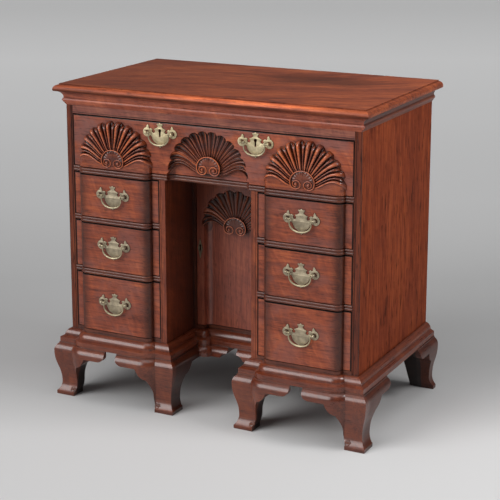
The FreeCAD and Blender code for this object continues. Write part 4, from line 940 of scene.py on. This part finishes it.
for side, hand in ((-1, "left"), (1, "right")):
    for row, level in (("low", 281.5), ("middle", 439.0), ("high", 576.5)):
        name = f"{hand}_{row}"
        spot, face = side * PEDESTAL, FRONT_MM - BLOCK_DEPTH
        pull = join(name + "_pull_cast", backplate(spot, level, face, False),
                    *posts(spot, level, face, FRONT_MM + SHORT_FRONT))
        settle(pull, "dull_brass", name + "_drawer", "brass", name + "_pull")
        bail = bail_piece(name + "_bail_wire", spot, level, face)
        settle(bail, "rubbed_brass", name + "_bail", "brass", name + "_bail")
    name = f"long_{hand}_bail"
    bail = bail_piece(name + "_wire", side * LONG_PULL, LONG_PULL_LEVEL, FRONT_MM)
    settle(bail, "rubbed_brass", name, "brass", name)
long_pulls = []
for spot in (-LONG_PULL, LONG_PULL):
    long_pulls += [backplate(spot, LONG_PULL_LEVEL, FRONT_MM, True),
                   *posts(spot, LONG_PULL_LEVEL, FRONT_MM, FRONT_MM + LONG_FRONT)]
long_pulls = join("long_drawer_pulls_cast", *long_pulls)
settle(long_pulls, "bright_brass", "long_drawer", "brass", "long_drawer_pulls")


# Floor, light and camera

bpy.ops.object.select_all(action="DESELECT")
bpy.ops.mesh.primitive_circle_add(vertices=96, radius=60, fill_type="NGON", location=(0, 0, 0))
floor = bpy.context.object
floor.name = "studio_floor"
material, shader, place = new_finish("pale_floor")
x, y = place.parts()[:2]
# painted shading: the floor darkens behind the desk, then pales again as it runs back
behind = y * 0.89 - x * 0.455
FLOOR_GREYS = ((0.0, 0.64), (0.058, 0.635), (0.104, 0.45), (0.171, 0.42), (0.267, 0.52), (0.422, 0.60),
               (0.608, 0.65), (0.867, 0.56))
stops = [(spot, (grey, grey, grey)) for spot, grey in FLOOR_GREYS]
level = behind.node("ValToRGB", {"stops": stops}, {0: (behind + 1) / 12})
feed(shader["Base Color"], level)
feed(shader["Roughness"], 0.9)
feed(shader["Specular IOR Level"], 0.0)
floor.data.materials.append(material)

world = bpy.data.worlds.new("studio")
bpy.context.scene.world = world
world.use_nodes = True
backdrop = world.node_tree.nodes["Background"].inputs
backdrop["Color"].default_value = (0.5, 0.5, 0.51, 1)
backdrop["Strength"].default_value = 0.3


def aimed(azimuth, elevation):
    """The way towards a lamp round the desk, and the lamp's turn."""
    turn, lift = math.radians(azimuth), math.radians(elevation)
    back = Vector((math.sin(turn) * math.cos(lift), -math.cos(turn) * math.cos(lift), math.sin(lift)))
    return back, back.to_track_quat("Z", "Y").to_euler()


def sky_panel(name, azimuth, elevation, spread, strength):
    """A wide soft lamp so far off that it lights the whole floor alike."""
    back, turn = aimed(azimuth, elevation)
    bpy.ops.object.light_add(type="SUN", location=back * 5, rotation=turn)
    lamp = bpy.context.object
    lamp.name = name
    lamp.data.angle = math.radians(spread)
    lamp.data.energy = strength


def softbox(name, azimuth, elevation, distance, size, power):
    """A square lamp near the desk, aimed at its middle."""
    back, turn = aimed(azimuth, elevation)
    middle = Vector((0, 0, 0.45))
    bpy.ops.object.light_add(type="AREA", location=middle + back * distance, rotation=turn)
    lamp = bpy.context.object
    lamp.name = name
    lamp.data.shape = "SQUARE"
    lamp.data.size = size
    lamp.data.energy = power


sky_panel("key_light", -34, 27, 42, 2.2)
sky_panel("top_light", 0, 76, 50, 1.0)
softbox("side_light", 92, 42, 3.0, 0.9, 34)

bpy.ops.object.camera_add(location=(1.74814, -3.41943, 1.48356),
                          rotation=Euler((math.radians(90 - 12.98), 0, math.radians(26.945))))
camera = bpy.context.object
camera.data.lens = 105.897
camera.data.shift_y = -0.14
bpy.context.scene.camera = camera
bpy.context.scene.view_settings.view_transform = "Standard"
